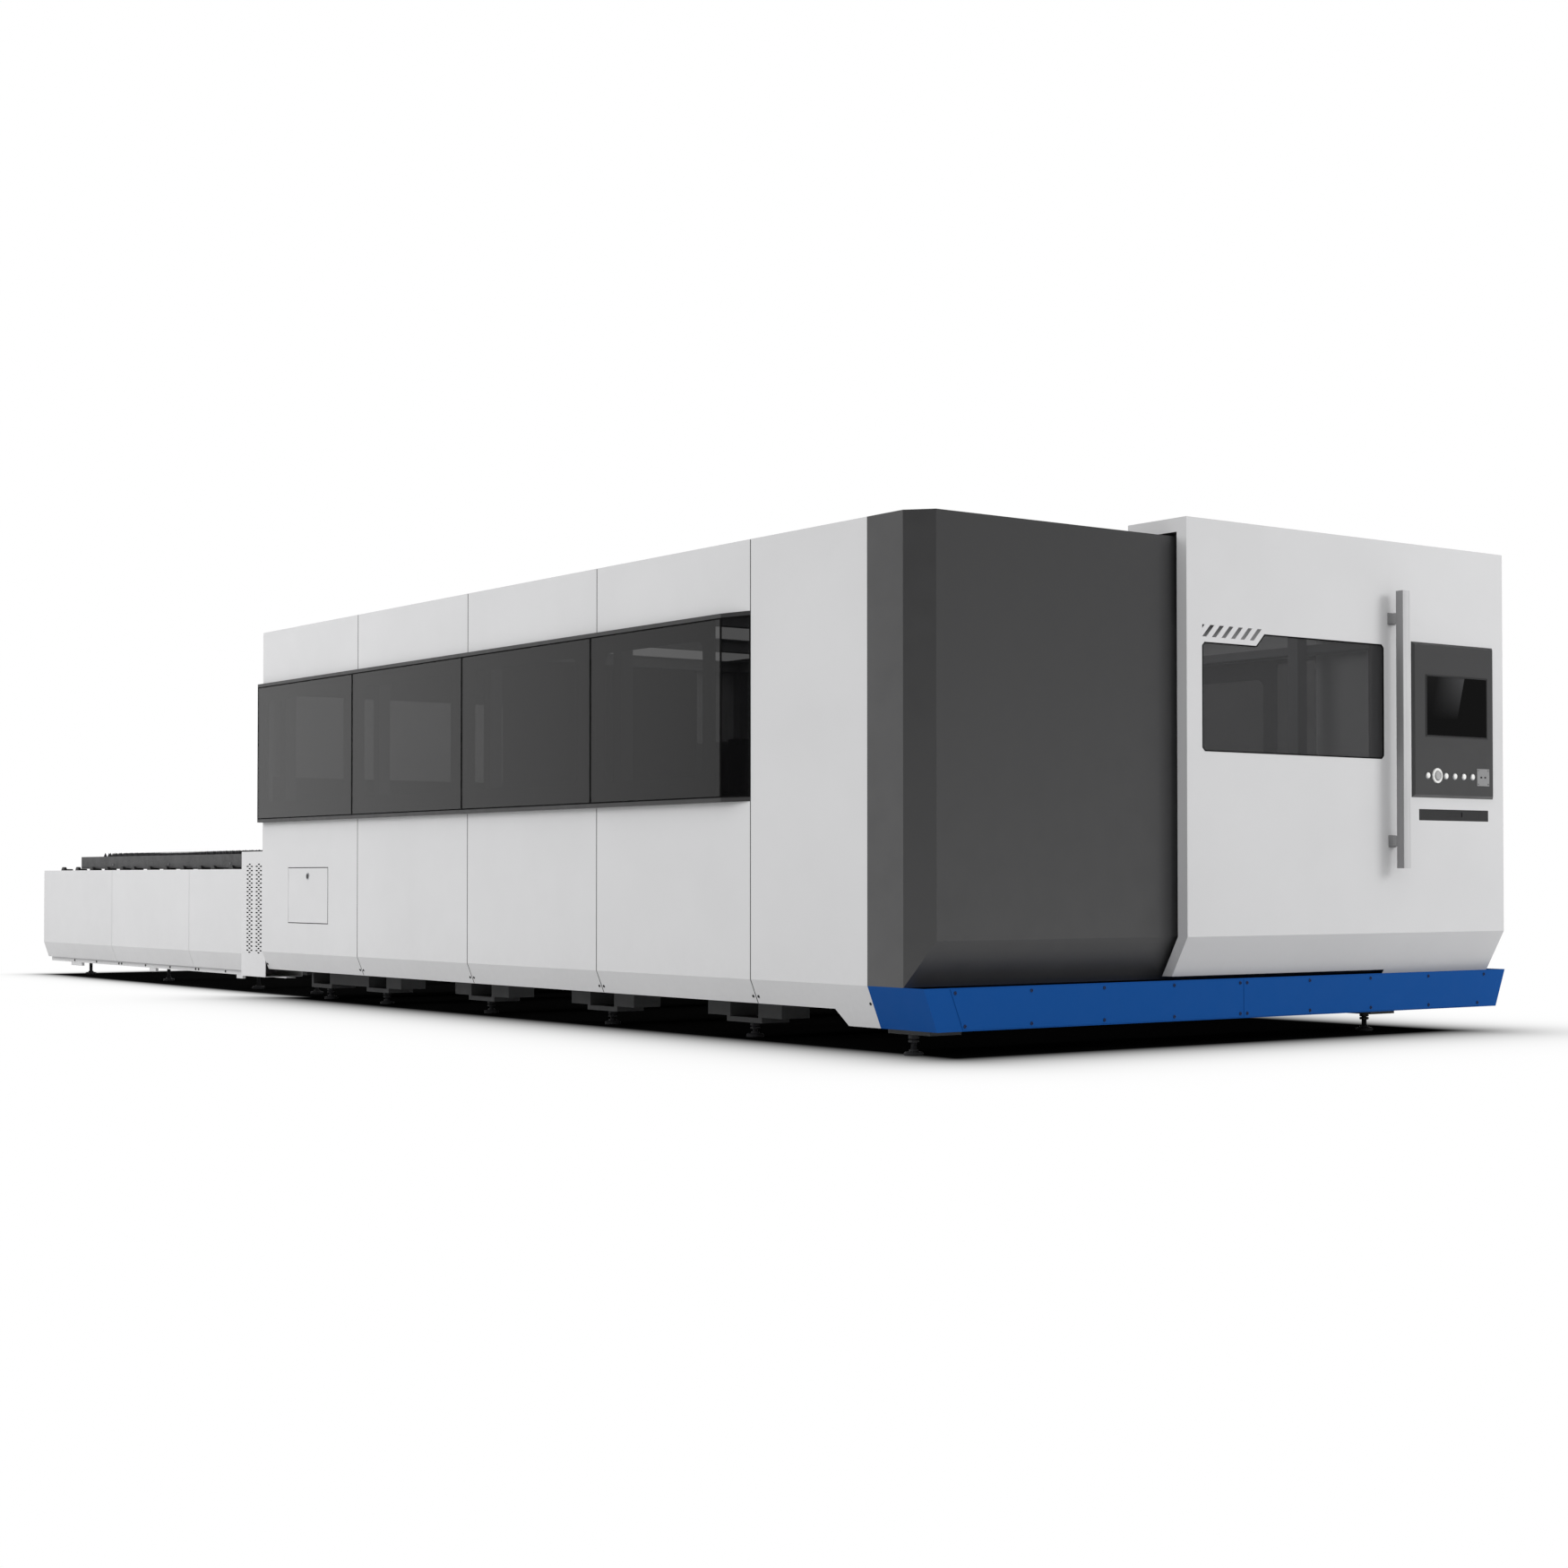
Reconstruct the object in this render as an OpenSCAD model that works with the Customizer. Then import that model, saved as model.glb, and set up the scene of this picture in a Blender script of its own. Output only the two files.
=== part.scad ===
// Fiber laser cutting machine with a sliding front door and a two-level exchange platform.
// X runs along the machine, towards the door. Y runs across it. Z is up, from the floor.
// The near side is the -Y side. Sizes are in millimetres.

/* [Enclosure] */
// Length of one wall bay
bay_l = 1200; // [1100:10:1300]
// Number of windowed bays
bay_count = 4; // [4:1:5]
// Length of the windowless bay next to the cowl
end_bay_l = 779; // [700:1:900]
// Width over the two walls
body_w = 3500; // [3480:10:3600]
// Height of the roof
roof_z = 2110; // [2080:5:2200]
// Height of the fold above the floor
fold_z = 275; // [265:1:285]
// Height of the folded foot of the wall
fold_drop = 101; // [90:1:110]
// Distance that the foot is folded inwards
fold_in = 41; // [35:1:50]
// Thickness of the wall sheet
sheet_t = 3; // [2:0.5:4]
// Gap between neighbouring panels
panel_gap = 3; // [2:0.5:4]

/* [Ribbon windows] */
// Height of the window sill
sill_z = 1016; // [1000:1:1040]
// Distance of the window head below the roof
head_drop = 299; // [280:1:330]
// Distance that the panes stand off the wall
ribbon_d = 35; // [25:1:45]
// Thickness of a pane
pane_t = 5; // [4:1:8]
// Height of the rails above and below the panes
rail_h = 18; // [12:1:24]
// Length of the slanted end of the ribbon
facet_l = 166; // [120:1:200]
// Corner radius of the inner frame's cut-out
cutout_r = 45; // [30:1:60]

/* [Cowl and skirt] */
// Length of the cowl's flat side
cowl_side_l = 221; // [215:1:230]
// Length of the cowl
cowl_l = 318; // [310:1:325]
// Width of the cowl's corner chamfer
cowl_corner = 85; // [70:1:100]
// Height of the slanted foot of the cowl
cowl_foot_h = 179; // [170:1:190]
// Length of the skirt
skirt_l = 341; // [335:1:350]
// Height of the skirt
skirt_h = 168; // [160:1:175]
// Thickness of the skirt's sheet
skirt_t = 4; // [3:0.5:5]
// Thickness of the skirt's cover plates
cover_t = 2; // [1:0.5:4]

/* [Door] */
// Width of the door
door_w = 2062; // [2040:1:2080]
// Distance of the door's far edge inside the far wall
door_far_gap = 73; // [65:1:90]
// Height of the door's cap above the roof
door_rise = 75; // [70:1:90]
// Depth of the door's folded edge
door_d = 55; // [50:1:58]
// Gap between the door and the cowl
door_gap = 20; // [18:1:24]
// Thickness of the door's sheet
door_t = 3; // [2:0.5:4]
// Length of the handle bar
handle_l = 1221; // [1100:1:1300]
// Thickness of the handle bar
handle_t = 41; // [35:1:45]

/* [Operator panel] */
// Width of the operator panel
hmi_w = 570; // [560:1:580]
// Height of the operator panel
hmi_h = 694; // [680:1:710]
// Depth of the operator panel
hmi_d = 12; // [10:1:15]
// Diameter of a push button
button_d = 25; // [20:1:28]
// Diameter of the emergency stop's head
stop_d = 44; // [40:1:50]
// Width of the keyboard drawer
drawer_w = 486; // [470:1:500]
// Height of the keyboard drawer's front
drawer_h = 50; // [46:1:56]

/* [Bed and gantry] */
// Height of the bed's side beams above the floor
bed_top_z = 940; // [930:1:950]
// Width of a bed side beam
bed_beam_w = 150; // [145:1:155]
// Height of the gantry beam
gantry_h = 240; // [200:5:280]
// Depth of the gantry beam
gantry_d = 200; // [160:5:240]
// Distance of the gantry beam from the cowl seam when parked
gantry_park = 1250; // [1200:5:1400]
// Height of the nozzle's tip when parked
nozzle_z = 980; // [975:1:1000]

/* [Exchange platform] */
// Length of one platform side panel
platform_panel_l = 1316; // [1250:1:1350]
// Number of side panels
platform_panel_count = 3; // [3:1:3]
// Distance of the platform's sides inside the walls
platform_inset = 250; // [245:1:255]
// Height of the platform's side
platform_top_z = 752; // [745:1:758]
// Diameter of a roller
roller_d = 64; // [56:1:72]
// Height of the upper rollers' tops
roller_top_z = 777; // [774:1:780]
// Distance between the two roller levels
level_drop = 230; // [222:1:240]
// Distance between rollers
roller_pitch = 278; // [240:1:290]

/* [Pallet] */
// Length of a pallet
pallet_l = 3400; // [3300:10:3450]
// Distance of a pallet's sides inside the platform's
pallet_gap = 55; // [50:1:60]
// Height of a pallet's side tube
pallet_h = 83; // [76:1:86]
// Distance between slats
slat_pitch = 98; // [80:1:120]
// Distance between teeth
tooth_pitch = 92; // [70:1:120]
// Height of a slat from its seat to its tips
slat_h = 73; // [66:1:76]
// Thickness of a slat
slat_t = 6; // [3:1:8]

/* [Hidden] */
$fn = 48;

// Overrun of cuts, and the gap that moving pieces keep
overrun = 5;
clearance = 0.3;

// Colours
white_paint = [0.83, 0.83, 0.84];
dark_paint = [0.24, 0.25, 0.26];
frame_paint = [0.36, 0.37, 0.38];
blue_paint = [0.09, 0.28, 0.53];
black_finish = [0.08, 0.08, 0.09];
steel_finish = [0.66, 0.67, 0.69];
glass_tint = [0.25, 0.28, 0.3, 0.45];
grey_plastic = [0.62, 0.62, 0.63];

// Walls
half_w = body_w / 2;
back_x = -end_bay_l - bay_count * bay_l;
fold_slope = fold_in / fold_drop;
wall_bottom_z = fold_z - fold_drop;
skirt_z = fold_z - skirt_h;
edge_return = 30;
roof_lap = 60;
roof_rim_l = 90;
roof_rim_w = 240;
head_z = roof_z - head_drop;
end_step_share = [0.26, 0.33];

// Ribbon windows
ribbon_y = -half_w - ribbon_d;
facet_x = -end_bay_l - facet_l;
cutout_bottom = 117;
cutout_top = 96;
cutout_back = 70;
cutout_front = 170;
last_cutout_front = 93;
last_frame_gap = 258;

// Posts and girts
post_w = 65;
post_gap = 110;
girt_h = 40;
post_y = -half_w + post_gap;
top_beam_z = roof_z - sheet_t - post_w;

// Hatch
hatch_inset = 341;
hatch_w = 501;
hatch_h = 305;
hatch_z = 448;
hatch_lap = 12;
hatch_gap = 0.5;
hatch_barrel_r = 2.5;
hatch_barrel_h = 60;
hatch_barrel_inset = 30;
lock_r = 10;
lock_flange_r = 14;
lock_flange_t = 2;
lock_depth = 25;
lock_drop = 46;
lock_cam = [36, 4, 14];
lock_slot = [4, 1, 16];
hatch_x = back_x + hatch_inset;
hatch_axis_x = hatch_x + hatch_barrel_r + hatch_gap;
lock_x = hatch_x + hatch_w / 2;
lock_z = hatch_z + hatch_h - lock_drop;

// Bed
bed_wall_gap = 100;
bed_out_y = half_w - bed_wall_gap;
bed_in_y = bed_out_y - bed_beam_w;
bed_first_foot = 1228;
bed_rear_foot = 697;
bed_end_gap = 174;
bed_cross_w = 262;
bed_cross_h = 150;
bed_foot_inset = 350;
bed_foot_y = half_w - bed_foot_inset;
bed_foot_count = 4;
bed_foot_pitch = (-back_x - bed_end_gap - bed_rear_foot - bed_first_foot) / (bed_foot_count - 1);
bed_foot_xs = concat(
    [for (i = [0:bed_foot_count - 1]) -bed_first_foot - i * bed_foot_pitch],
    [-bed_first_foot - (bed_foot_count - 1) * bed_foot_pitch - bed_rear_foot]
);

// Pocket brackets and feet
pocket_w = 262;
pocket_wall = 26;
pocket_floor_z = 66;
pocket_floor_t = 22;
pocket_inset = [290, 440];
pocket_y = [-half_w + pocket_inset[0], -half_w + pocket_inset[1]];
pocket_plate_w = 145;
pocket_plate_h = 83;
front_plate_x = [-140, 190];
front_plate_inset = 85;
front_plate_half_w = half_w - front_plate_inset;
front_plate_t = 24;
front_pad_gap = 2;
front_pad_t = 22;
front_pad_top_z = skirt_z - front_pad_gap;
front_pad_bottom_z = front_pad_top_z - front_pad_t;
front_pad_step = 20;
front_pad_x = [-65, 190];
near_pad_inset = [157, 319];
far_pad_inset = [761, 599];
near_pad_y = [-half_w + near_pad_inset[0], -half_w + near_pad_inset[1]];
far_pad_y = [half_w - far_pad_inset[0], half_w - far_pad_inset[1]];
front_foot_x = 60;
near_front_foot_inset = 185;
far_front_foot_inset = 650;
front_foot_ys = [-half_w + near_front_foot_inset, half_w - far_front_foot_inset];
foot_r = 39;
foot_t = 15;
foot_stem_r = 12;
foot_nut_r = 22;
foot_nut_h = 18;

// Guide rails of the gantry
guide_w = 30;
guide_h = 30;
guide_in = 30;
guide_end_gap = 150;
rack_w = 18;
rack_h = 22;
guide_y = bed_in_y + guide_in;

// Gantry
truck_l = 500;
truck_h = 80;
truck_w = 70;
truck_z = bed_top_z + guide_h + clearance;
gantry_z = truck_z + truck_h;
gantry_half_w = bed_in_y + truck_w - 5 * clearance;
motor_r = 60;
motor_h = 230;
motor_flange = 130;
motor_flange_t = 20;
cross_rail_d = 25;
cross_rail_h = 30;
cross_rail_inset = 30;
cross_rail_end = 80;
carriage_w = 320;
carriage_t = 30;
carriage_drop = 20;
carriage_rise = 120;
z_rail_w = 24;
z_rail_d = 20;
z_rail_spread = 180;
z_plate_t = 25;
z_plate_w = 240;
z_plate_h = 300;
head_r = 55;
head_h = 360;
head_neck_r = 34;
head_neck_h = 60;
head_cap_r = 28;
head_cap_h = 70;
nozzle_h = 70;
nozzle_tip_r = 5;
carriage_motor_r = 45;
carriage_motor_h = 150;
gantry_front_x = -gantry_park;
gantry_back_x = gantry_front_x - gantry_d;
carriage_x = gantry_back_x - cross_rail_d - clearance;
z_rail_x = carriage_x - carriage_t;
z_plate_x = z_rail_x - z_rail_d - clearance;
head_x = z_plate_x - z_plate_t - head_r;
laser_z = nozzle_z + nozzle_h + head_neck_h;

// Rear wall and pillars
port_inset = 270;
port_half_w = half_w - port_inset;
port_z = [430, 950];
pillar_l = 333;
pillar_inset = 20;
pillar_bottom_z = 126;
pillar_h = 725;
vent_slot = [28, 8];
vent_pitch = 24.4;
vent_rows = 22;
vent_column_gap = 126;
vent_side = 28;
vent_top_gap = 70;
vent_middle_share = 0.525;

// Door
door_x = cowl_l + door_gap + door_d;
door_far_y = half_w - door_far_gap;
door_y = [door_far_y - door_w, door_far_y];
door_top_z = roof_z + door_rise;
door_back_x = door_x - door_d;
door_fold_z = fold_z + cowl_foot_h;
door_foot_h = 165;
door_foot_in = 90;
door_bottom_z = door_fold_z - door_foot_h;
door_lip_h = 17;
door_lip_in = door_lip_h * door_foot_in / door_foot_h;
door_lip_far = 731;
door_lip_y = door_far_y - door_lip_far;
cap_back_x = 55;
cap_gap = 17;
cap_z = roof_z + cap_gap;

// Cowl doorway and tracks
doorway_lap = [85, 77];
doorway_y = [door_y[0] + doorway_lap[0], door_y[1] - doorway_lap[1]];
doorway_rise = 26;
doorway_drop = 160;
doorway_z = [door_fold_z + doorway_rise, roof_z - doorway_drop];
cowl_seam = 0.5;
ledge_drop = 20;
ledge_z = fold_z - ledge_drop - skirt_t;
cover_inset = 132;
cover_edge = 5;
cover_seam = 3;
roof_track_x = [100, 130];
roof_track_h = 14;
roof_track_inset = [110, 70];
roof_track_y = [-half_w + roof_track_inset[0], half_w - roof_track_inset[1]];
trough_track_x = [250, 300];
trough_track_inset = 75;
trough_track_y = [-half_w + trough_track_inset, door_lip_y];
trough_track_h = 13;
trough_track_t = 4;

// Handle and hangers
hmi_far_gap = 77;
hmi_drop = 435;
hmi_y0 = door_far_y - hmi_far_gap - hmi_w;
hmi_z0 = door_top_z - hmi_drop - hmi_h;
handle_w = 44;
handle_hmi_gap = 111;
handle_y = [hmi_y0 - handle_hmi_gap - handle_w, hmi_y0 - handle_hmi_gap];
handle_rise = 30;
handle_z = (door_fold_z + door_top_z - handle_l) / 2 + handle_rise;
handle_gap = 44;
standoff_h = 45;
standoff_inset = 97;
hanger_inset = 250;
hanger_wheel_r = 18;
hanger_wheel_w = 20;
hanger_axle_r = 6;
hanger_plate_w = 50;
hanger_plate_t = 8;

// Door window and slots
window_near_gap = 90;
window_handle_gap = 30;
window_y = [door_y[0] + window_near_gap, handle_y[0] - window_handle_gap];
window_h = 505;
window_drop = 460;
window_z = [door_top_z - window_drop - window_h, door_top_z - window_drop];
window_corner = 15;
window_step_drop = 52;
window_step_z = window_z[1] - window_step_drop;
window_step_in = [325, 375];
window_step_y = [window_y[0] + window_step_in[0], window_y[0] + window_step_in[1]];
window_lap = 14;
window_t = 5;
slot_drop = 30;
slot_rise = 20;
slot_z = [window_z[1] - slot_drop, window_z[1] + slot_rise];
slot_w = 25;
slot_pitch = 57;
slot_count = 6;
slot_lean = 48;
slot_start = 1;
slot_first_y = window_y[0] + slot_start;

// Operator panel
screen_in_y = [92, 511];
screen_in_z = [280, 544];
screen_y = [hmi_y0 + screen_in_y[0], hmi_y0 + screen_in_y[1]];
screen_z = [hmi_z0 + screen_in_z[0], hmi_z0 + screen_in_z[1]];
screen_recess = 3;
screen_t = 3.5;
button_rise = 99;
button_z = hmi_z0 + button_rise;
button_in_ys = [97, 223, 285, 348, 410];
button_ys = [for (y = button_in_ys) hmi_y0 + y];
button_gap = 0.5;
button_back_gap = 6;
button_proud = 6;
stop_in_y = 160;
stop_y = hmi_y0 + stop_in_y;
stop_ring_r = 33;
stop_ring_t = 6;
stop_proud = 7;
socket_in_y = [442, 529];
socket_in_z = [59, 137];
socket_y = [hmi_y0 + socket_in_y[0], hmi_y0 + socket_in_y[1]];
socket_z = [hmi_z0 + socket_in_z[0], hmi_z0 + socket_in_z[1]];
socket_t = 2;
socket_hole = [14, 8];

// Housing behind the operator panel, and the drawer
housing_x0 = 140;
housing_inset = 15;
housing_drop = 121;
housing_rise = 10;
housing_y = [hmi_y0 + housing_inset, hmi_y0 + hmi_w - housing_inset];
housing_z = [hmi_z0 - housing_drop, hmi_z0 + hmi_h + housing_rise];
drawer_in_y = 51;
drawer_drop = 102;
drawer_y0 = hmi_y0 + drawer_in_y;
drawer_z0 = hmi_z0 - drawer_drop;
drawer_front_t = 6;
drawer_tray_l = 210;
drawer_tray_h = 22;
drawer_tray_in = 4;
drawer_tray_rise = 8;
drawer_wall = 3;
drawer_pull_in_y = [190, 301];
drawer_pull_in_z = [18, 39];
drawer_pull_y = [drawer_y0 + drawer_pull_in_y[0], drawer_y0 + drawer_pull_in_y[1]];
drawer_pull_z = [drawer_z0 + drawer_pull_in_z[0], drawer_z0 + drawer_pull_in_z[1]];
drawer_pull_d = 3;
keyboard_h = 12;
keyboard_margin = 15;
runner_h = 30;
runner_drop = 4;

// Platform
platform_half_w = half_w - platform_inset;
platform_front_gap = 8;
platform_front_x = back_x - sheet_t - platform_front_gap;
platform_panels_x = back_x - sheet_t - pillar_l - panel_gap;
platform_end_x = platform_panels_x - platform_panel_count * platform_panel_l;
platform_fold_z = 238;
platform_fold_drop = 105;
platform_fold_in = 36;
platform_ledge_step = 24;
platform_ledge_z = 103;
platform_ledge_in = 60;
side_plate_t = 18;
side_plate_top = 745;
side_plate_flange = 97;
side_plate_flange_t = 15;
side_plate_z = 240;
platform_beam_h = 110;
platform_beam_w = 100;
platform_beam_gap = 65;
platform_beam_half_l = platform_half_w - platform_beam_gap;
platform_foot_in = 310;
platform_foot_y = platform_half_w - platform_foot_in;
platform_foot_inset = 110;
platform_foot_pitch = 1446;
platform_foot_count = 3;
platform_last_beam = 110;
platform_foot_xs = concat(
    [for (i = [0:platform_foot_count - 1]) platform_end_x + platform_foot_inset + i * platform_foot_pitch],
    [platform_front_x - platform_last_beam]
);

// Rollers
roller_flange_w = 20;
roller_tread_w = 50;
roller_step = 14;
roller_gap = 25;
roller_out_y = platform_half_w - roller_gap;
roller_axle_r = 12;
roller_offset = 307;
rollers_per_panel = 5;
bed_roller_offset = 150;
bed_roller_count = 13;
roller_z = roller_top_z - roller_d / 2;

// Pallets
pallet_inset = 593;
pallet_tube_w = 60;
pallet_ledge_w = 40;
pallet_ledge_t = 10;
pallet_seat = 37;
pallet_bearer_y = 460;
pallet_bearer_w = 20;
pallet_bearer_h = 20;
pallet_travel = 4000;
slat_inset = 254;
slat_end_gap = 2;
slat_valley = 43;
pallet_x = platform_end_x + pallet_inset;
pallet_z = roller_top_z - roller_step + clearance;
pallet_half_w = platform_half_w - pallet_gap;
slat_count = floor((pallet_l - slat_inset - pallet_tube_w - slat_t) / slat_pitch) + 1;

// The origin lies below the middle of the machine's length, from the platform's end to the handle
handle_x = door_x + handle_gap + handle_t;
origin_x = -(handle_x + platform_end_x) / 2;

// Distance of the wall's outer face from the centre line at a given height
function skin_w(z) = half_w - max(0, fold_z - z) * fold_slope;
// Wall seams, from the cowl to the rear
function seam_x(i) = -end_bay_l - i * bay_l;

module placed() {
    translate([origin_x, 0, 0]) children();
}

module block(x, y, z) {
    translate([x[0], y[0], z[0]]) cube([x[1] - x[0], y[1] - y[0], z[1] - z[0]]);
}

// Extrudes a profile drawn in Y and Z along X
module along_x(x) {
    translate([x[0], 0, 0]) rotate([90, 0, 90]) linear_extrude(x[1] - x[0]) children();
}

// Extrudes a profile drawn in X and Z along Y
module along_y(y) {
    translate([0, y[1], 0]) rotate([90, 0, 0]) linear_extrude(y[1] - y[0]) children();
}

module along_z(z) {
    translate([0, 0, z[0]]) linear_extrude(z[1] - z[0]) children();
}

// A round bar along X, from one X to another
module bar_x(x, y, z, r) {
    translate([x[0], y, z]) rotate([0, 90, 0]) cylinder(h = x[1] - x[0], r = r);
}

// A round bar along Y
module bar_y(x, y, z, r) {
    translate([x, y[1], z]) rotate([90, 0, 0]) cylinder(h = y[1] - y[0], r = r);
}

module far_side() {
    mirror([0, 1, 0]) children();
}

module both_sides() {
    children();
    far_side() children();
}

// A rectangle with true round corners, between two corners
module rounded_rect(low, high, r) {
    translate([low[0] + r, low[1]]) square([high[0] - low[0] - 2 * r, high[1] - low[1]]);
    translate([low[0], low[1] + r]) square([high[0] - low[0], high[1] - low[1] - 2 * r]);
    for (x = [low[0] + r, high[0] - r], y = [low[1] + r, high[1] - r]) translate([x, y]) circle(r);
}

// Bed

module bed_frame() {
    color(frame_paint) placed() {
        both_sides() block([back_x, 0], [-bed_out_y, -bed_in_y], [wall_bottom_z, bed_top_z]);
        for (x = bed_foot_xs)
            block(
                [x - bed_cross_w / 2, x + bed_cross_w / 2],
                [-bed_in_y, bed_in_y],
                [wall_bottom_z, wall_bottom_z + bed_cross_h]
            );
        block([-bed_cross_w, 0], [-bed_in_y, bed_in_y], [wall_bottom_z, wall_bottom_z + bed_cross_h]);
    }
}

// A channel that hangs below a cross beam and holds a foot
module pocket_channel(x) {
    difference() {
        block([x - pocket_w / 2, x + pocket_w / 2], pocket_y, [pocket_floor_z, wall_bottom_z]);
        block(
            [x - pocket_w / 2 + pocket_wall, x + pocket_w / 2 - pocket_wall],
            [pocket_y[0] - overrun, pocket_y[1] + overrun],
            [pocket_floor_z + pocket_floor_t, wall_bottom_z + overrun]
        );
    }
}

// Plate that reaches from a channel's side to a given place
module pocket_plate(x) {
    block(x, pocket_y, [wall_bottom_z - pocket_plate_h, wall_bottom_z]);
}

// Channels with a plate on both sides; one long plate joins the two rear ones
module pocket_row() {
    half = pocket_w / 2;
    for (x = bed_foot_xs) pocket_channel(x);
    for (i = [0:bed_foot_count - 1]) {
        x = bed_foot_xs[i];
        reach = i == bed_foot_count - 1 ? bed_rear_foot - pocket_w : pocket_plate_w;
        pocket_plate([x + half, x + half + pocket_plate_w]);
        pocket_plate([x - half - reach, x - half]);
    }
}

module base_brackets() {
    color(frame_paint) placed() {
        both_sides() pocket_row();
        block(
            front_plate_x,
            [-front_plate_half_w, front_plate_half_w],
            [wall_bottom_z - front_plate_t, wall_bottom_z]
        );
        for (y = [near_pad_y, far_pad_y]) {
            block(front_pad_x, y, [front_pad_bottom_z, front_pad_top_z]);
            block(
                [front_pad_x[0] + front_pad_step, front_pad_x[1] - front_pad_step],
                [y[0] + front_pad_step, y[1] - front_pad_step],
                [front_pad_top_z, wall_bottom_z - front_plate_t]
            );
        }
    }
}

// A levelling foot that reaches up to the face that it carries
module foot(x, y, top_z) {
    translate([x, y, 0]) {
        cylinder(h = foot_t, r = foot_r);
        cylinder(h = top_z, r = foot_stem_r);
        translate([0, 0, top_z - foot_nut_h]) cylinder(h = foot_nut_h, r = foot_nut_r, $fn = 6);
    }
}

module levelling_feet() {
    color(black_finish) placed() {
        both_sides() {
            for (x = bed_foot_xs) foot(x, -bed_foot_y, pocket_floor_z);
            for (x = platform_foot_xs) foot(x, -platform_foot_y, side_plate_z - platform_beam_h);
        }
        for (y = front_foot_ys) foot(front_foot_x, y, front_pad_bottom_z);
    }
}

module guide_rails() {
    x = [back_x + guide_end_gap, -guide_end_gap];
    color(steel_finish) placed() both_sides() {
        block(x, [-guide_y - guide_w, -guide_y], [bed_top_z, bed_top_z + guide_h]);
        block(x, [-bed_in_y - rack_w, -bed_in_y], [bed_top_z, bed_top_z + rack_h]);
    }
}

// A flanged roller on a stub axle that stands out from the wall behind it
module roller(x, z, wall_y) {
    tread_y = -roller_out_y + roller_flange_w;
    bar_y(x, [-roller_out_y, tread_y], z, roller_d / 2);
    bar_y(x, [tread_y, tread_y + roller_tread_w], z, roller_d / 2 - roller_step);
    bar_y(x, [-wall_y, -roller_out_y], z, roller_axle_r);
}

module bed_rollers() {
    color(black_finish) placed() both_sides()
        for (i = [0:bed_roller_count - 1], z = [roller_z, roller_z - level_drop])
            roller(back_x + bed_roller_offset + i * roller_pitch, z, bed_in_y);
}

// Enclosure frame

module side_frame() {
    inner_y = post_y + post_w;
    post_z = [bed_top_z, top_beam_z];
    for (i = [0:bay_count - 1])
        block([seam_x(i) - post_w / 2, seam_x(i) + post_w / 2], [post_y, inner_y], post_z);
    block([back_x, back_x + post_w], [post_y, inner_y], post_z);
    block([-post_w, 0], [post_y, inner_y], post_z);
    block([back_x, 0], [post_y, inner_y], [top_beam_z, top_beam_z + post_w]);
    for (z = [sill_z - sheet_t - girt_h, head_z + sheet_t])
        block([back_x, 0], [-half_w + sheet_t, post_y], [z, z + girt_h]);
}

module near_frame() {
    color(frame_paint) placed() side_frame();
}

module far_frame() {
    color(frame_paint) placed() far_side() side_frame();
}

module roof_beams() {
    reach = -post_y - post_w;
    xs = concat([back_x + post_w / 2, -post_w / 2], [for (i = [0:bay_count - 1]) seam_x(i)]);
    color(frame_paint) placed()
        for (x = xs)
            block([x - post_w / 2, x + post_w / 2], [-reach, reach], [top_beam_z, top_beam_z + post_w]);
}

// Each bay's roof is a rim around an open middle
module roof_panels() {
    reach = half_w - roof_lap;
    z = [roof_z - sheet_t, roof_z];
    color(white_paint) placed() {
        for (i = [0:bay_count - 1]) {
            x = [seam_x(i + 1), seam_x(i) - panel_gap];
            difference() {
                block(x, [-reach, reach], z);
                block(
                    [x[0] + roof_rim_l, x[1] - roof_rim_l],
                    [-reach + roof_rim_w, reach - roof_rim_w],
                    [z[0] - overrun, z[1] + overrun]
                );
            }
        }
        block([-end_bay_l, 0], [-reach, reach], z);
    }
}

// Wall panels

// Section of a lower wall panel, with its folded foot and its returns
module lower_section() {
    inner_z = wall_bottom_z + sheet_t;
    polygon([
        [-half_w, sill_z],
        [-half_w, fold_z],
        [-skin_w(wall_bottom_z), wall_bottom_z],
        [-bed_out_y, wall_bottom_z],
        [-bed_out_y, inner_z],
        [-skin_w(inner_z) + sheet_t, inner_z],
        [-half_w + sheet_t, fold_z],
        [-half_w + sheet_t, sill_z - sheet_t],
        [-half_w + edge_return, sill_z - sheet_t],
        [-half_w + edge_return, sill_z]
    ]);
}

module upper_section() {
    polygon([
        [-half_w, head_z],
        [-half_w, roof_z],
        [-half_w + roof_lap, roof_z],
        [-half_w + roof_lap, roof_z - sheet_t],
        [-half_w + sheet_t, roof_z - sheet_t],
        [-half_w + sheet_t, head_z + sheet_t],
        [-half_w + edge_return, head_z + sheet_t],
        [-half_w + edge_return, head_z]
    ]);
}

module end_section() {
    polygon([
        [-half_w, fold_z],
        [-half_w, roof_z],
        [-half_w + roof_lap, roof_z],
        [-half_w + roof_lap, roof_z - sheet_t],
        [-half_w + sheet_t, roof_z - sheet_t],
        [-half_w + sheet_t, fold_z],
        [-skin_w(skirt_z) + sheet_t, skirt_z],
        [-skin_w(skirt_z), skirt_z]
    ]);
}

module wall_row() {
    for (i = [0:bay_count - 1]) along_x([seam_x(i + 1), seam_x(i) - panel_gap]) children();
}

// Full-height panel next to the cowl, whose foot steps down to the skirt
module end_panel() {
    intersection() {
        along_x([-end_bay_l, 0]) end_section();
        along_y([-half_w - overrun, 0]) polygon([
            [-end_bay_l, roof_z],
            [0, roof_z],
            [0, skirt_z],
            [-end_bay_l * end_step_share[0], skirt_z],
            [-end_bay_l * end_step_share[1], wall_bottom_z],
            [-end_bay_l, wall_bottom_z]
        ]);
    }
}

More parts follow.
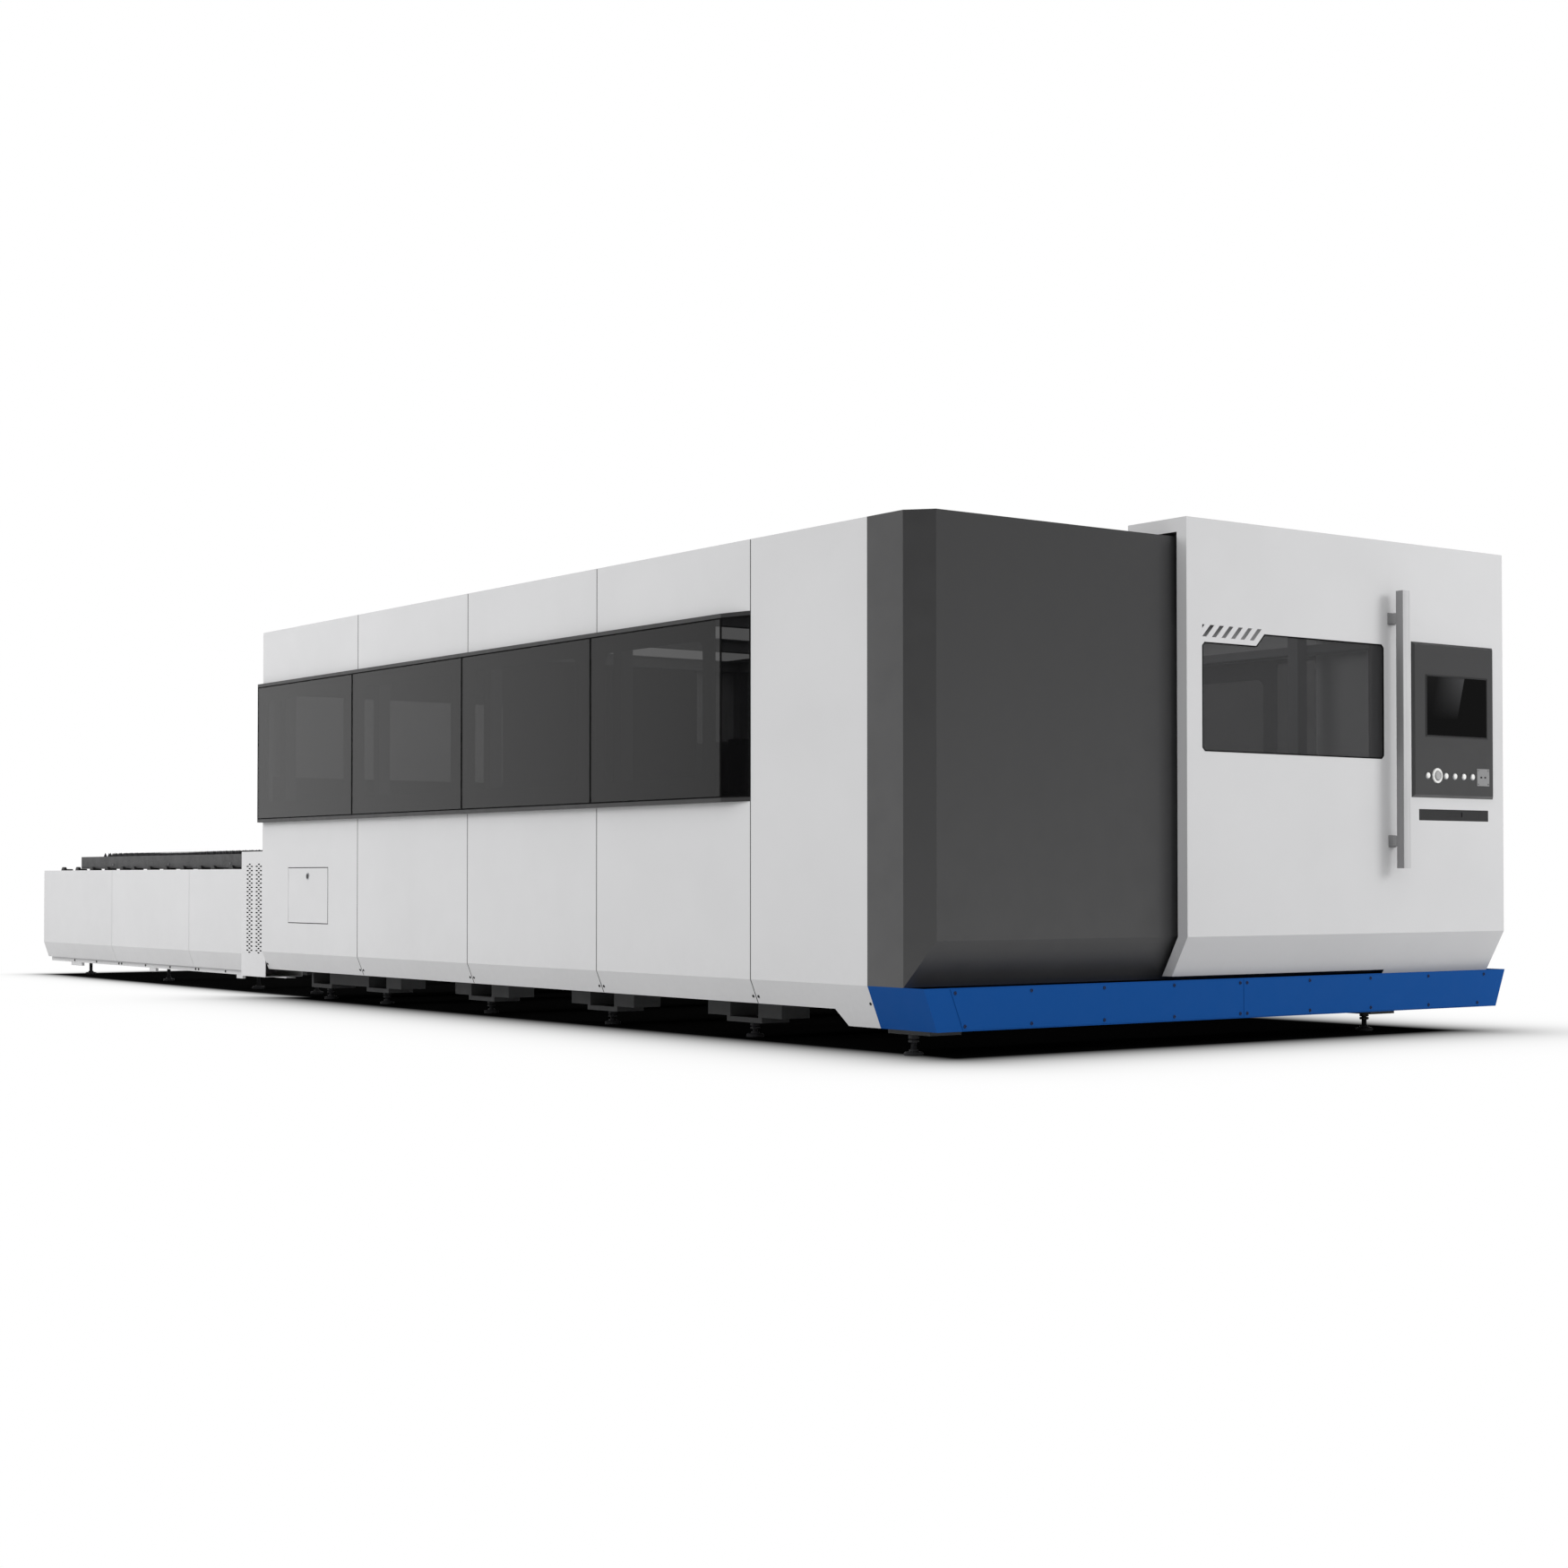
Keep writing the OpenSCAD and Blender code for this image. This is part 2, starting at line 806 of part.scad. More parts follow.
module near_lower_panels() {
    seat_y = [-half_w + sheet_t, -half_w + 2 * sheet_t];
    color(white_paint) placed() {
        difference() {
            wall_row() lower_section();
            block(
                [hatch_x, hatch_x + hatch_w],
                [-half_w - overrun, -half_w + sheet_t + overrun],
                [hatch_z, hatch_z + hatch_h]
            );
        }
        difference() {
            block(
                [hatch_x - hatch_lap, hatch_x + hatch_w + hatch_lap],
                seat_y,
                [hatch_z - hatch_lap, hatch_z + hatch_h + hatch_lap]
            );
            block(
                [hatch_x + hatch_lap, hatch_x + hatch_w - hatch_lap],
                [seat_y[0] - overrun, seat_y[1] + overrun],
                [hatch_z + hatch_lap, hatch_z + hatch_h - hatch_lap]
            );
        }
    }
}

module near_upper_panels() {
    color(white_paint) placed() wall_row() upper_section();
}

module near_end_panel() {
    color(white_paint) placed() end_panel();
}

module far_lower_panels() {
    color(white_paint) placed() far_side() wall_row() lower_section();
}

module far_upper_panels() {
    color(white_paint) placed() far_side() wall_row() upper_section();
}

module far_end_panel() {
    color(white_paint) placed() far_side() end_panel();
}

// Hatch

module hatch_door() {
    plate_y = [-half_w, -half_w + sheet_t - clearance];
    z = [hatch_z + hatch_gap, hatch_z + hatch_h - hatch_gap];
    barrels = [z[0] + hatch_barrel_inset, z[1] - hatch_barrel_inset - hatch_barrel_h];
    color(white_paint) placed() difference() {
        union() {
            block([hatch_axis_x, hatch_x + hatch_w - hatch_gap], plate_y, z);
            for (barrel_z = barrels)
                translate([hatch_axis_x, -half_w, barrel_z])
                    cylinder(h = hatch_barrel_h, r = hatch_barrel_r);
        }
        bar_y(lock_x, [plate_y[0] - overrun, plate_y[1] + overrun], lock_z, lock_r + clearance);
    }
}

module hatch_lock() {
    face_y = -half_w - clearance - lock_flange_t;
    cam_y = -half_w + lock_depth;
    color(black_finish) placed() {
        difference() {
            union() {
                bar_y(lock_x, [face_y, -half_w - clearance], lock_z, lock_flange_r);
                bar_y(lock_x, [face_y, cam_y], lock_z, lock_r);
            }
            translate([lock_x - lock_slot[0] / 2, face_y - overrun, lock_z - lock_slot[2] / 2])
                cube([lock_slot[0], lock_slot[1] + overrun, lock_slot[2]]);
        }
        translate([lock_x - lock_cam[0] / 2, cam_y, lock_z - lock_cam[2] / 2]) cube(lock_cam);
    }
}

// Ribbon windows

module ribbon_rails() {
    for (z = [sill_z, head_z - rail_h])
        along_z([z, z + rail_h]) polygon([
            [back_x, -half_w],
            [back_x, ribbon_y],
            [facet_x, ribbon_y],
            [-end_bay_l, -half_w]
        ]);
    block([back_x, back_x + pane_t], [ribbon_y, -half_w], [sill_z, head_z]);
}

module ribbon_panes() {
    z = [sill_z + rail_h, head_z - rail_h];
    facet_t = pane_t * facet_l / ribbon_d;
    for (i = [0:bay_count - 1]) {
        start = i == bay_count - 1 ? back_x + pane_t : seam_x(i + 1) + panel_gap / 2;
        end = i == 0 ? facet_x - panel_gap : seam_x(i) - panel_gap / 2;
        block([start, end], [ribbon_y, ribbon_y + pane_t], z);
    }
    along_z(z) polygon([
        [facet_x, ribbon_y],
        [-end_bay_l, -half_w],
        [-end_bay_l - facet_t, -half_w],
        [facet_x, ribbon_y + pane_t]
    ]);
}

// Dark plates behind the panes, each with a rounded cut-out
module ribbon_frames() {
    for (i = [0:bay_count - 1]) {
        start = seam_x(i + 1);
        end = i == 0 ? -end_bay_l - last_frame_gap : seam_x(i) - panel_gap;
        margin = i == 0 ? last_cutout_front : cutout_front;
        along_y([-half_w, -half_w + sheet_t]) difference() {
            translate([start, sill_z]) square([end - start, head_z - sill_z]);
            rounded_rect(
                [start + cutout_back, sill_z + cutout_bottom],
                [end - margin, head_z - cutout_top],
                cutout_r
            );
        }
    }
}

module near_window_rails() {
    color(dark_paint) placed() ribbon_rails();
}

module near_window_panes() {
    color(glass_tint) placed() ribbon_panes();
}

module near_window_frames() {
    color(dark_paint) placed() ribbon_frames();
}

module far_window_rails() {
    color(dark_paint) placed() far_side() ribbon_rails();
}

module far_window_panes() {
    color(glass_tint) placed() far_side() ribbon_panes();
}

module far_window_frames() {
    color(dark_paint) placed() far_side() ribbon_frames();
}

// Rear wall and pillars

module rear_wall() {
    foot_w = skin_w(wall_bottom_z);
    color(white_paint) placed() along_x([back_x - sheet_t, back_x]) difference() {
        polygon([
            [-half_w, roof_z],
            [half_w, roof_z],
            [half_w, fold_z],
            [foot_w, wall_bottom_z],
            [-foot_w, wall_bottom_z],
            [-half_w, fold_z]
        ]);
        translate([-port_half_w, port_z[0]]) square([2 * port_half_w, port_z[1] - port_z[0]]);
    }
}

// One slot of the perforation, cut through the sheet at a given Y
module vent(x, y, z) {
    translate([x - vent_slot[0] / 2, y - overrun, z - vent_slot[1]])
        cube([vent_slot[0], sheet_t + 2 * overrun, vent_slot[1]]);
}

// A perforated box that stands behind a rear corner
module pillar() {
    x = [back_x - sheet_t - pillar_l, back_x - sheet_t];
    y = [-half_w + pillar_inset, -platform_half_w + sheet_t];
    z = [pillar_bottom_z, pillar_bottom_z + pillar_h];
    middle_x = x[0] + pillar_l * vent_middle_share;
    difference() {
        block(x, y, z);
        block(
            [x[0] + sheet_t, x[1] + overrun],
            [y[0] + sheet_t, y[1] - sheet_t],
            [z[0] + sheet_t, z[1] - sheet_t]
        );
        for (side = [-1, 1]) {
            column_x = middle_x + side * vent_column_gap / 2;
            for (row = [0:vent_rows - 1])
                vent(column_x, y[0], z[1] - vent_top_gap - row * vent_pitch);
            for (step = [-1, 1], row = [0:vent_rows - 2])
                vent(column_x + step * vent_side, y[0], z[1] - vent_top_gap - (row + 1 / 2) * vent_pitch);
        }
    }
}

module vent_pillars() {
    color(white_paint) placed() both_sides() pillar();
}

// Cowl, skirt and tracks

// Outer form of the cowl, drawn in by an inset on every face but the rear and the foot
module cowl_form(inset, extra) {
    side_x = cowl_side_l - inset / 2;
    front_x = cowl_l - inset;
    side_y = half_w - inset;
    front_y = half_w - cowl_corner - inset / 2;
    intersection() {
        along_z([fold_z - extra, roof_z - inset]) polygon([
            [-extra, -side_y],
            [side_x, -side_y],
            [front_x, -front_y],
            [front_x, front_y],
            [side_x, side_y],
            [-extra, side_y]
        ]);
        along_y([-half_w, half_w]) polygon([
            [-extra, fold_z - extra],
            [side_x - inset / 2, fold_z - extra],
            [side_x - inset / 2, fold_z],
            [front_x, fold_z + cowl_foot_h],
            [front_x, roof_z],
            [-extra, roof_z]
        ]);
    }
}

// Side parts, lintel and sill, with seams in line with the doorway's sides
module front_cowl() {
    color(dark_paint) placed() difference() {
        cowl_form(0, 0);
        cowl_form(sheet_t, overrun);
        block([cowl_l - sheet_t - overrun, cowl_l + overrun], doorway_y, doorway_z);
        for (y = doorway_y)
            block(
                [-overrun, cowl_l + overrun],
                [y - cowl_seam / 2, y + cowl_seam / 2],
                [fold_z - overrun, roof_z + overrun]
            );
    }
}

module front_skirt() {
    deck_z = ledge_z + skirt_t;
    color(blue_paint) placed() difference() {
        along_x([0, skirt_l]) polygon([
            [-half_w, fold_z],
            [half_w, fold_z],
            [skin_w(skirt_z), skirt_z],
            [-skin_w(skirt_z), skirt_z]
        ]);
        along_x([-overrun, skirt_l - skirt_t]) polygon([
            [-skin_w(ledge_z) + skirt_t, ledge_z],
            [skin_w(ledge_z) - skirt_t, ledge_z],
            [skin_w(skirt_z - overrun) - skirt_t, skirt_z - overrun],
            [-skin_w(skirt_z - overrun) + skirt_t, skirt_z - overrun]
        ]);
        along_x([-overrun, skirt_l - skirt_t]) polygon([
            [-half_w + skirt_t, fold_z + overrun],
            [half_w - skirt_t, fold_z + overrun],
            [half_w - skirt_t, fold_z],
            [skin_w(deck_z) - skirt_t, deck_z],
            [-skin_w(deck_z) + skirt_t, deck_z],
            [-half_w + skirt_t, fold_z]
        ]);
    }
}

module skirt_covers() {
    top_z = fold_z - cover_edge;
    bottom_z = skirt_z + cover_edge;
    top_y = -half_w + cover_inset;
    lean = (top_z - bottom_z) * fold_slope;
    color(blue_paint) placed() both_sides() along_x([skirt_l, skirt_l + cover_t]) polygon([
        [top_y, top_z],
        [-cover_seam / 2, top_z],
        [-cover_seam / 2, bottom_z],
        [top_y + lean, bottom_z]
    ]);
}

module roof_track() {
    color(steel_finish) placed() block(roof_track_x, roof_track_y, [roof_z, roof_z + roof_track_h]);
}

module trough_track() {
    deck_z = ledge_z + skirt_t;
    color(black_finish) placed() difference() {
        block(trough_track_x, trough_track_y, [deck_z, deck_z + trough_track_h]);
        block(
            [trough_track_x[0] + trough_track_t, trough_track_x[1] - trough_track_t],
            [trough_track_y[0] - overrun, trough_track_y[1] + overrun],
            [deck_z + trough_track_t, deck_z + trough_track_h + overrun]
        );
    }
}

// Door

// Outline of the stepped door window, widened all round by a lap
module window_outline(lap) {
    low = [window_y[0] - lap, window_z[0] - lap];
    high = [window_y[1] + lap, window_z[1] + lap];
    step_z = window_step_z + lap;
    polygon([
        [low[0] + window_corner, low[1]],
        [high[0] - window_corner, low[1]],
        [high[0], low[1] + window_corner],
        [high[0], high[1] - window_corner],
        [high[0] - window_corner, high[1]],
        [window_step_y[1], high[1]],
        [window_step_y[0], step_z],
        [low[0] + window_corner, step_z],
        [low[0], step_z - window_corner],
        [low[0], low[1] + window_corner]
    ]);
}

// Slanted slots above the step, the first one cut off by the window's edge line
module slot_outlines() {
    intersection() {
        for (i = [-1:slot_count - 1])
            polygon([
                [slot_first_y + i * slot_pitch, slot_z[0]],
                [slot_first_y + i * slot_pitch + slot_w, slot_z[0]],
                [slot_first_y + i * slot_pitch + slot_w + slot_lean, slot_z[1]],
                [slot_first_y + i * slot_pitch + slot_lean, slot_z[1]]
            ]);
        translate([slot_first_y, slot_z[0]])
            square([(slot_count + 1) * slot_pitch + slot_lean, slot_z[1] - slot_z[0]]);
    }
}

// Section of the door, from its cap over the roof to its slanted foot
module door_section(foot_h) {
    foot_in = foot_h * door_foot_in / door_foot_h;
    polygon([
        [door_x, door_top_z],
        [door_x, door_fold_z],
        [door_x - foot_in, door_fold_z - foot_h],
        [door_back_x - foot_in, door_fold_z - foot_h],
        [door_back_x, door_fold_z],
        [door_back_x, cap_z],
        [cap_back_x, cap_z],
        [cap_back_x, door_top_z]
    ]);
}

// Hollow of the door, open to the rear and below the cap
module door_hollow() {
    foot_h = door_foot_h - door_t;
    foot_in = foot_h * door_foot_in / door_foot_h;
    front = door_x - door_t;
    back = door_back_x - overrun;
    polygon([
        [front, door_top_z - door_t],
        [front, door_fold_z],
        [front - foot_in, door_fold_z - foot_h],
        [back - foot_in, door_fold_z - foot_h],
        [back, door_fold_z],
        [back, cap_z - overrun],
        [cap_back_x + door_t, cap_z - overrun],
        [cap_back_x + door_t, door_top_z - door_t]
    ]);
}

// Strip that lengthens the slanted foot below the operator panel
module door_lip() {
    x = door_x - door_foot_in;
    along_y([door_lip_y, door_y[1]]) polygon([
        [x, door_bottom_z],
        [x - door_lip_in, door_bottom_z - door_lip_h],
        [x - door_lip_in - door_t, door_bottom_z - door_lip_h],
        [x - door_t, door_bottom_z]
    ]);
}

module door_shell() {
    skin_x = [door_x - door_t - overrun, door_x + overrun];
    color(dark_paint) placed() {
        difference() {
            along_y(door_y) door_section(door_foot_h);
            along_y([door_y[0] + door_t, door_y[1] - door_t]) door_hollow();
            along_x(skin_x) window_outline(0);
            along_x(skin_x) slot_outlines();
            block(
                skin_x,
                [drawer_y0 - clearance, drawer_y0 + drawer_w + clearance],
                [drawer_z0 - clearance, drawer_z0 + drawer_h + clearance]
            );
        }
        door_lip();
    }
}

module door_window() {
    color(glass_tint) placed()
        along_x([door_x - door_t - window_t, door_x - door_t]) window_outline(window_lap);
}

module door_handle() {
    bar_x0 = door_x + handle_gap;
    standoffs = [handle_z + standoff_inset, handle_z + handle_l - standoff_inset - standoff_h];
    color(steel_finish) placed() {
        block([bar_x0, bar_x0 + handle_t], handle_y, [handle_z, handle_z + handle_l]);
        for (z = standoffs) block([door_x, bar_x0], handle_y, [z, z + standoff_h]);
    }
}

module door_hangers() {
    wheel_z = roof_z + roof_track_h + clearance + hanger_wheel_r;
    wheel_x = (roof_track_x[0] + roof_track_x[1] - hanger_wheel_w) / 2;
    plate_x = wheel_x + hanger_wheel_w + hanger_plate_t;
    top_z = door_top_z - door_t;
    color(steel_finish) placed()
        for (y = [door_y[0] + hanger_inset, door_y[1] - hanger_inset]) {
            bar_x([wheel_x, wheel_x + hanger_wheel_w], y, wheel_z, hanger_wheel_r);
            bar_x([wheel_x, plate_x], y, wheel_z, hanger_axle_r);
            block(
                [plate_x, plate_x + hanger_plate_t],
                [y - hanger_plate_w / 2, y + hanger_plate_w / 2],
                [wheel_z - hanger_axle_r, top_z]
            );
        }
}

// Operator panel

module control_housing() {
    front_x = door_x - door_t;
    tray_y = [drawer_y0 + drawer_tray_in, drawer_y0 + drawer_w - drawer_tray_in];
    inner_y = [housing_y[0] + sheet_t, housing_y[1] - sheet_t];
    runner_z = drawer_z0 + drawer_tray_rise - runner_drop;
    runner_x = [housing_x0 + sheet_t, door_x - drawer_front_t - clearance];
    color(dark_paint) placed() {
        difference() {
            block([housing_x0, front_x], housing_y, housing_z);
            block(
                [housing_x0 + sheet_t, front_x + overrun],
                inner_y,
                [housing_z[0] + sheet_t, housing_z[1] - sheet_t]
            );
        }
        block(runner_x, [inner_y[0], tray_y[0] - clearance], [runner_z, runner_z + runner_h]);
        block(runner_x, [tray_y[1] + clearance, inner_y[1]], [runner_z, runner_z + runner_h]);
    }
}

module control_panel() {
    front_x = door_x + hmi_d;
    y = [hmi_y0, hmi_y0 + hmi_w];
    z = [hmi_z0, hmi_z0 + hmi_h];
    bore_x = [door_x - overrun, front_x + stop_ring_t + overrun];
    color(dark_paint) placed() difference() {
        union() {
            intersection() {
                along_y(y) polygon([
                    [door_x, z[0]],
                    [front_x, z[0] + hmi_d],
                    [front_x, z[1] - hmi_d],
                    [door_x, z[1]]
                ]);
                along_z(z) polygon([
                    [door_x, y[0]],
                    [front_x, y[0] + hmi_d],
                    [front_x, y[1] - hmi_d],
                    [door_x, y[1]]
                ]);
            }
            bar_x([door_x, front_x + stop_ring_t], stop_y, button_z, stop_ring_r);
        }
        for (button_y = button_ys) bar_x(bore_x, button_y, button_z, button_d / 2 + button_gap);
        bar_x(bore_x, stop_y, button_z, stop_d / 2 + button_gap);
        block([front_x - screen_recess, front_x + overrun], screen_y, screen_z);
    }
}

module screen() {
    x = door_x + hmi_d - screen_recess;
    color(black_finish) placed() block([x, x + screen_t], screen_y, screen_z);
}

module socket_plate() {
    x = door_x + hmi_d;
    mid_y = (socket_y[0] + socket_y[1]) / 2;
    mid_z = (socket_z[0] + socket_z[1]) / 2;
    color(steel_finish) placed() difference() {
        block([x, x + socket_t], socket_y, socket_z);
        for (side = [-1, 1])
            translate([
                x - overrun,
                mid_y + side * socket_hole[0] - socket_hole[0] / 2,
                mid_z - socket_hole[1] / 2
            ])
                cube([socket_t + 2 * overrun, socket_hole[0], socket_hole[1]]);
    }
}

module push_button(index) {
    x = [door_x + button_back_gap, door_x + hmi_d + button_proud];
    color(white_paint) placed() bar_x(x, button_ys[index], button_z, button_d / 2);
}

module button_1() {
    push_button(0);
}

module button_2() {
    push_button(1);
}

module button_3() {
    push_button(2);
}

module button_4() {
    push_button(3);
}

module button_5() {
    push_button(4);
}

module e_stop() {
    x = [door_x + button_back_gap + clearance, door_x + hmi_d + stop_ring_t + stop_proud];
    color(grey_plastic) placed() bar_x(x, stop_y, button_z, stop_d / 2);
}

module keyboard_drawer() {
    y = [drawer_y0, drawer_y0 + drawer_w];
    z = [drawer_z0, drawer_z0 + drawer_h];
    front_x = door_x - drawer_front_t;
    tray_x = front_x - drawer_tray_l;
    tray_y = [y[0] + drawer_tray_in, y[1] - drawer_tray_in];
    tray_z = [z[0] + drawer_tray_rise, z[0] + drawer_tray_rise + drawer_tray_h];
    color(black_finish) placed() {
        difference() {
            block([front_x, door_x], y, z);
            block([door_x - drawer_pull_d, door_x + overrun], drawer_pull_y, drawer_pull_z);
        }
        difference() {
            block([tray_x, front_x], tray_y, tray_z);
            block(
                [tray_x + drawer_wall, front_x - drawer_wall],
                [tray_y[0] + drawer_wall, tray_y[1] - drawer_wall],
                [tray_z[0] + drawer_wall, tray_z[1] + overrun]
            );
        }
        block(
            [tray_x + keyboard_margin, front_x - keyboard_margin],
            [tray_y[0] + keyboard_margin, tray_y[1] - keyboard_margin],
            [tray_z[0] + drawer_wall, tray_z[0] + drawer_wall + keyboard_h]
        );
    }
}

// Gantry

module gantry_beam() {
    color(frame_paint) placed()
        block(
            [gantry_back_x, gantry_front_x],
            [-gantry_half_w, gantry_half_w],
            [gantry_z, gantry_z + gantry_h]
        );
}

module gantry_trucks() {
    mid_x = (gantry_back_x + gantry_front_x) / 2;
    color(steel_finish) placed() both_sides() block(
        [mid_x - truck_l / 2, mid_x + truck_l / 2],
        [-gantry_half_w, -bed_in_y],
        [truck_z, gantry_z]
    );
}

module gantry_motors() {
    x = gantry_front_x + motor_flange / 2;
    y = -gantry_half_w + motor_flange / 2;
    color(black_finish) placed() both_sides() {
        block(
            [gantry_front_x, gantry_front_x + motor_flange],
            [-gantry_half_w, -gantry_half_w + motor_flange],
            [gantry_z, gantry_z + motor_flange_t]
        );
        translate([x, y, gantry_z + motor_flange_t]) cylinder(h = motor_h, r = motor_r);
    }
}

module cross_rails() {
    reach = gantry_half_w - cross_rail_end;
    low_z = gantry_z + cross_rail_inset;
    high_z = gantry_z + gantry_h - cross_rail_inset - cross_rail_h;
    color(steel_finish) placed()
        for (z = [low_z, high_z])
            block([gantry_back_x - cross_rail_d, gantry_back_x], [-reach, reach], [z, z + cross_rail_h]);
}

module carriage() {
    z = [gantry_z + carriage_drop, gantry_z + gantry_h + carriage_rise];
    color(frame_paint) placed() {
        block([z_rail_x, carriage_x], [-carriage_w / 2, carriage_w / 2], z);
        for (side = [-1, 1])
            translate([z_rail_x - z_rail_d, side * z_rail_spread / 2 - z_rail_w / 2, z[0]])
                cube([z_rail_d, z_rail_w, z[1] - z[0]]);
        translate([(z_rail_x + carriage_x) / 2 + carriage_motor_r, 0, z[1]])
            cylinder(h = carriage_motor_h, r = carriage_motor_r);
    }
}

module z_slide() {
    color(steel_finish) placed() block(
        [z_plate_x - z_plate_t, z_plate_x],
        [-z_plate_w / 2, z_plate_w / 2],
        [laser_z, laser_z + z_plate_h]
    );
}

module cutting_head() {
    color(black_finish) placed() translate([head_x, 0, 0]) {
        translate([0, 0, laser_z]) cylinder(h = head_h, r = head_r);
        translate([0, 0, laser_z - head_neck_h]) cylinder(h = head_neck_h, r = head_neck_r);
        translate([0, 0, laser_z + head_h]) cylinder(h = head_cap_h, r = head_cap_r);
        translate([0, -head_neck_r, laser_z]) cube([head_r, 2 * head_neck_r, z_plate_h]);
    }
}

module nozzle() {
    color(steel_finish) placed() translate([head_x, 0, nozzle_z])
        cylinder(h = nozzle_h, r1 = nozzle_tip_r, r2 = head_neck_r);
}

// Exchange platform

// Side plate that carries the rollers, with a flange that stands on the cross beams
module side_plate() {
    outer = -platform_half_w + sheet_t;
    along_x([platform_end_x + sheet_t, platform_front_x]) polygon([
        [outer, side_plate_z],
        [outer, side_plate_top],
        [outer + side_plate_t, side_plate_top],
        [outer + side_plate_t, side_plate_z + side_plate_flange_t],
        [outer + side_plate_flange, side_plate_z + side_plate_flange_t],
        [outer + side_plate_flange, side_plate_z]
    ]);
}

module platform_frame() {
    color(frame_paint) placed() {
        both_sides() side_plate();
        for (x = platform_foot_xs)
            block(
                [x - platform_beam_w / 2, x + platform_beam_w / 2],
                [-platform_beam_half_l, platform_beam_half_l],
                [side_plate_z - platform_beam_h, side_plate_z]
            );
    }
}

// Section of a side panel, with its slanted foot and the ledge below it
module platform_section() {
    outer = -platform_half_w;
    foot_z = platform_fold_z - platform_fold_drop;
    foot_y = outer + platform_fold_in;
    ledge_y = foot_y + platform_ledge_step;
    polygon([
        [outer, platform_top_z],
        [outer, platform_fold_z],
        [foot_y, foot_z],
        [ledge_y, foot_z],
        [ledge_y, platform_ledge_z],
        [ledge_y + platform_ledge_in, platform_ledge_z],
        [ledge_y + platform_ledge_in, platform_ledge_z + sheet_t],
        [ledge_y + sheet_t, platform_ledge_z + sheet_t],
        [ledge_y + sheet_t, foot_z + sheet_t],
        [foot_y + sheet_t, foot_z + sheet_t],
        [outer + sheet_t, platform_fold_z],
        [outer + sheet_t, platform_top_z]
    ]);
}

module platform_panels() {
    foot_z = platform_fold_z - platform_fold_drop;
    foot_w = platform_half_w - platform_fold_in;
    ledge_w = foot_w - platform_ledge_step;
    color(white_paint) placed() {
        both_sides() for (i = [0:platform_panel_count - 1]) {
            start = platform_end_x + i * platform_panel_l;
            along_x([i == 0 ? start + sheet_t : start, start + platform_panel_l - panel_gap])
                platform_section();
        }
        along_x([platform_end_x, platform_end_x + sheet_t]) polygon([
            [-platform_half_w, platform_top_z],
            [platform_half_w, platform_top_z],
            [platform_half_w, platform_fold_z],
            [foot_w, foot_z],
            [ledge_w, foot_z],
            [ledge_w, platform_ledge_z],
            [-ledge_w, platform_ledge_z],
            [-ledge_w, foot_z],
            [-foot_w, foot_z],
            [-platform_half_w, platform_fold_z]
        ]);
    }
}

module platform_rollers() {
    wall_y = platform_half_w - sheet_t - side_plate_t;
    color(black_finish) placed() both_sides()
        for (
            panel = [0:platform_panel_count - 1],
            i = [0:rollers_per_panel - 1],
            z = [roller_z, roller_z - level_drop]
        )
            roller(platform_end_x + roller_offset + panel * platform_panel_l + i * roller_pitch, z, wall_y);
}

// Pallets

module pallet_frame(x, z) {
    end_x = x + pallet_l;
    inner_y = pallet_half_w - pallet_tube_w;
    tube_z = [z, z + pallet_h];
    seat_z = z + pallet_seat;
    both_sides() {
        block([x, end_x], [-pallet_half_w, -inner_y], tube_z);
        block([x, end_x], [-inner_y, -inner_y + pallet_ledge_w], [seat_z - pallet_ledge_t, seat_z]);
        block(
            [x, end_x],
            [-pallet_bearer_y - pallet_bearer_w, -pallet_bearer_y],
            [seat_z - pallet_bearer_h, seat_z]
        );
    }
    for (start = [x, end_x - pallet_tube_w])
        block([start, start + pallet_tube_w], [-inner_y, inner_y], tube_z);
}

// A toothed slat, drawn in Y and Z from its seat upwards
module slat_section() {
    half = pallet_half_w - pallet_tube_w - slat_end_gap;
    teeth = floor(2 * half / tooth_pitch);
    first = -teeth * tooth_pitch / 2;
    polygon(concat(
        [[half, slat_valley], [half, 0], [-half, 0], [-half, slat_valley]],
        [for (i = [0:2 * teeth]) [first + i * tooth_pitch / 2, i % 2 == 0 ? slat_valley : slat_h]]
    ));
}

module pallet_slats(x, z) {
    for (i = [0:slat_count - 1])
        translate([0, 0, z + pallet_seat])
            along_x([x + slat_inset + i * slat_pitch, x + slat_inset + i * slat_pitch + slat_t])
                slat_section();
}

module upper_pallet_frame() {
    color(frame_paint) placed() pallet_frame(pallet_x, pallet_z);
}

module upper_pallet_slats() {
    color(black_finish) placed() pallet_slats(pallet_x, pallet_z);
}

module lower_pallet_frame() {
    color(frame_paint) placed() pallet_frame(pallet_x + pallet_travel, pallet_z - level_drop);
}

module lower_pallet_slats() {
    color(black_finish) placed() pallet_slats(pallet_x + pallet_travel, pallet_z - level_drop);
}

bed_frame();
base_brackets();
levelling_feet();
guide_rails();
bed_rollers();
near_frame();
far_frame();
roof_beams();
roof_panels();
near_lower_panels();
near_upper_panels();
near_end_panel();
near_window_rails();
near_window_panes();
near_window_frames();
far_lower_panels();
far_upper_panels();
far_end_panel();
far_window_rails();
far_window_panes();
far_window_frames();
rear_wall();
vent_pillars();
hatch_door();
hatch_lock();
front_cowl();
front_skirt();
skirt_covers();
roof_track();
trough_track();
door_shell();
door_window();
door_handle();
door_hangers();
control_housing();
control_panel();
screen();
socket_plate();
keyboard_drawer();
button_1();
button_2();
button_3();
button_4();
button_5();
e_stop();
gantry_beam();
gantry_trucks();
gantry_motors();
cross_rails();
carriage();
z_slide();
cutting_head();
nozzle();
platform_frame();
platform_panels();
platform_rollers();
upper_pallet_frame();
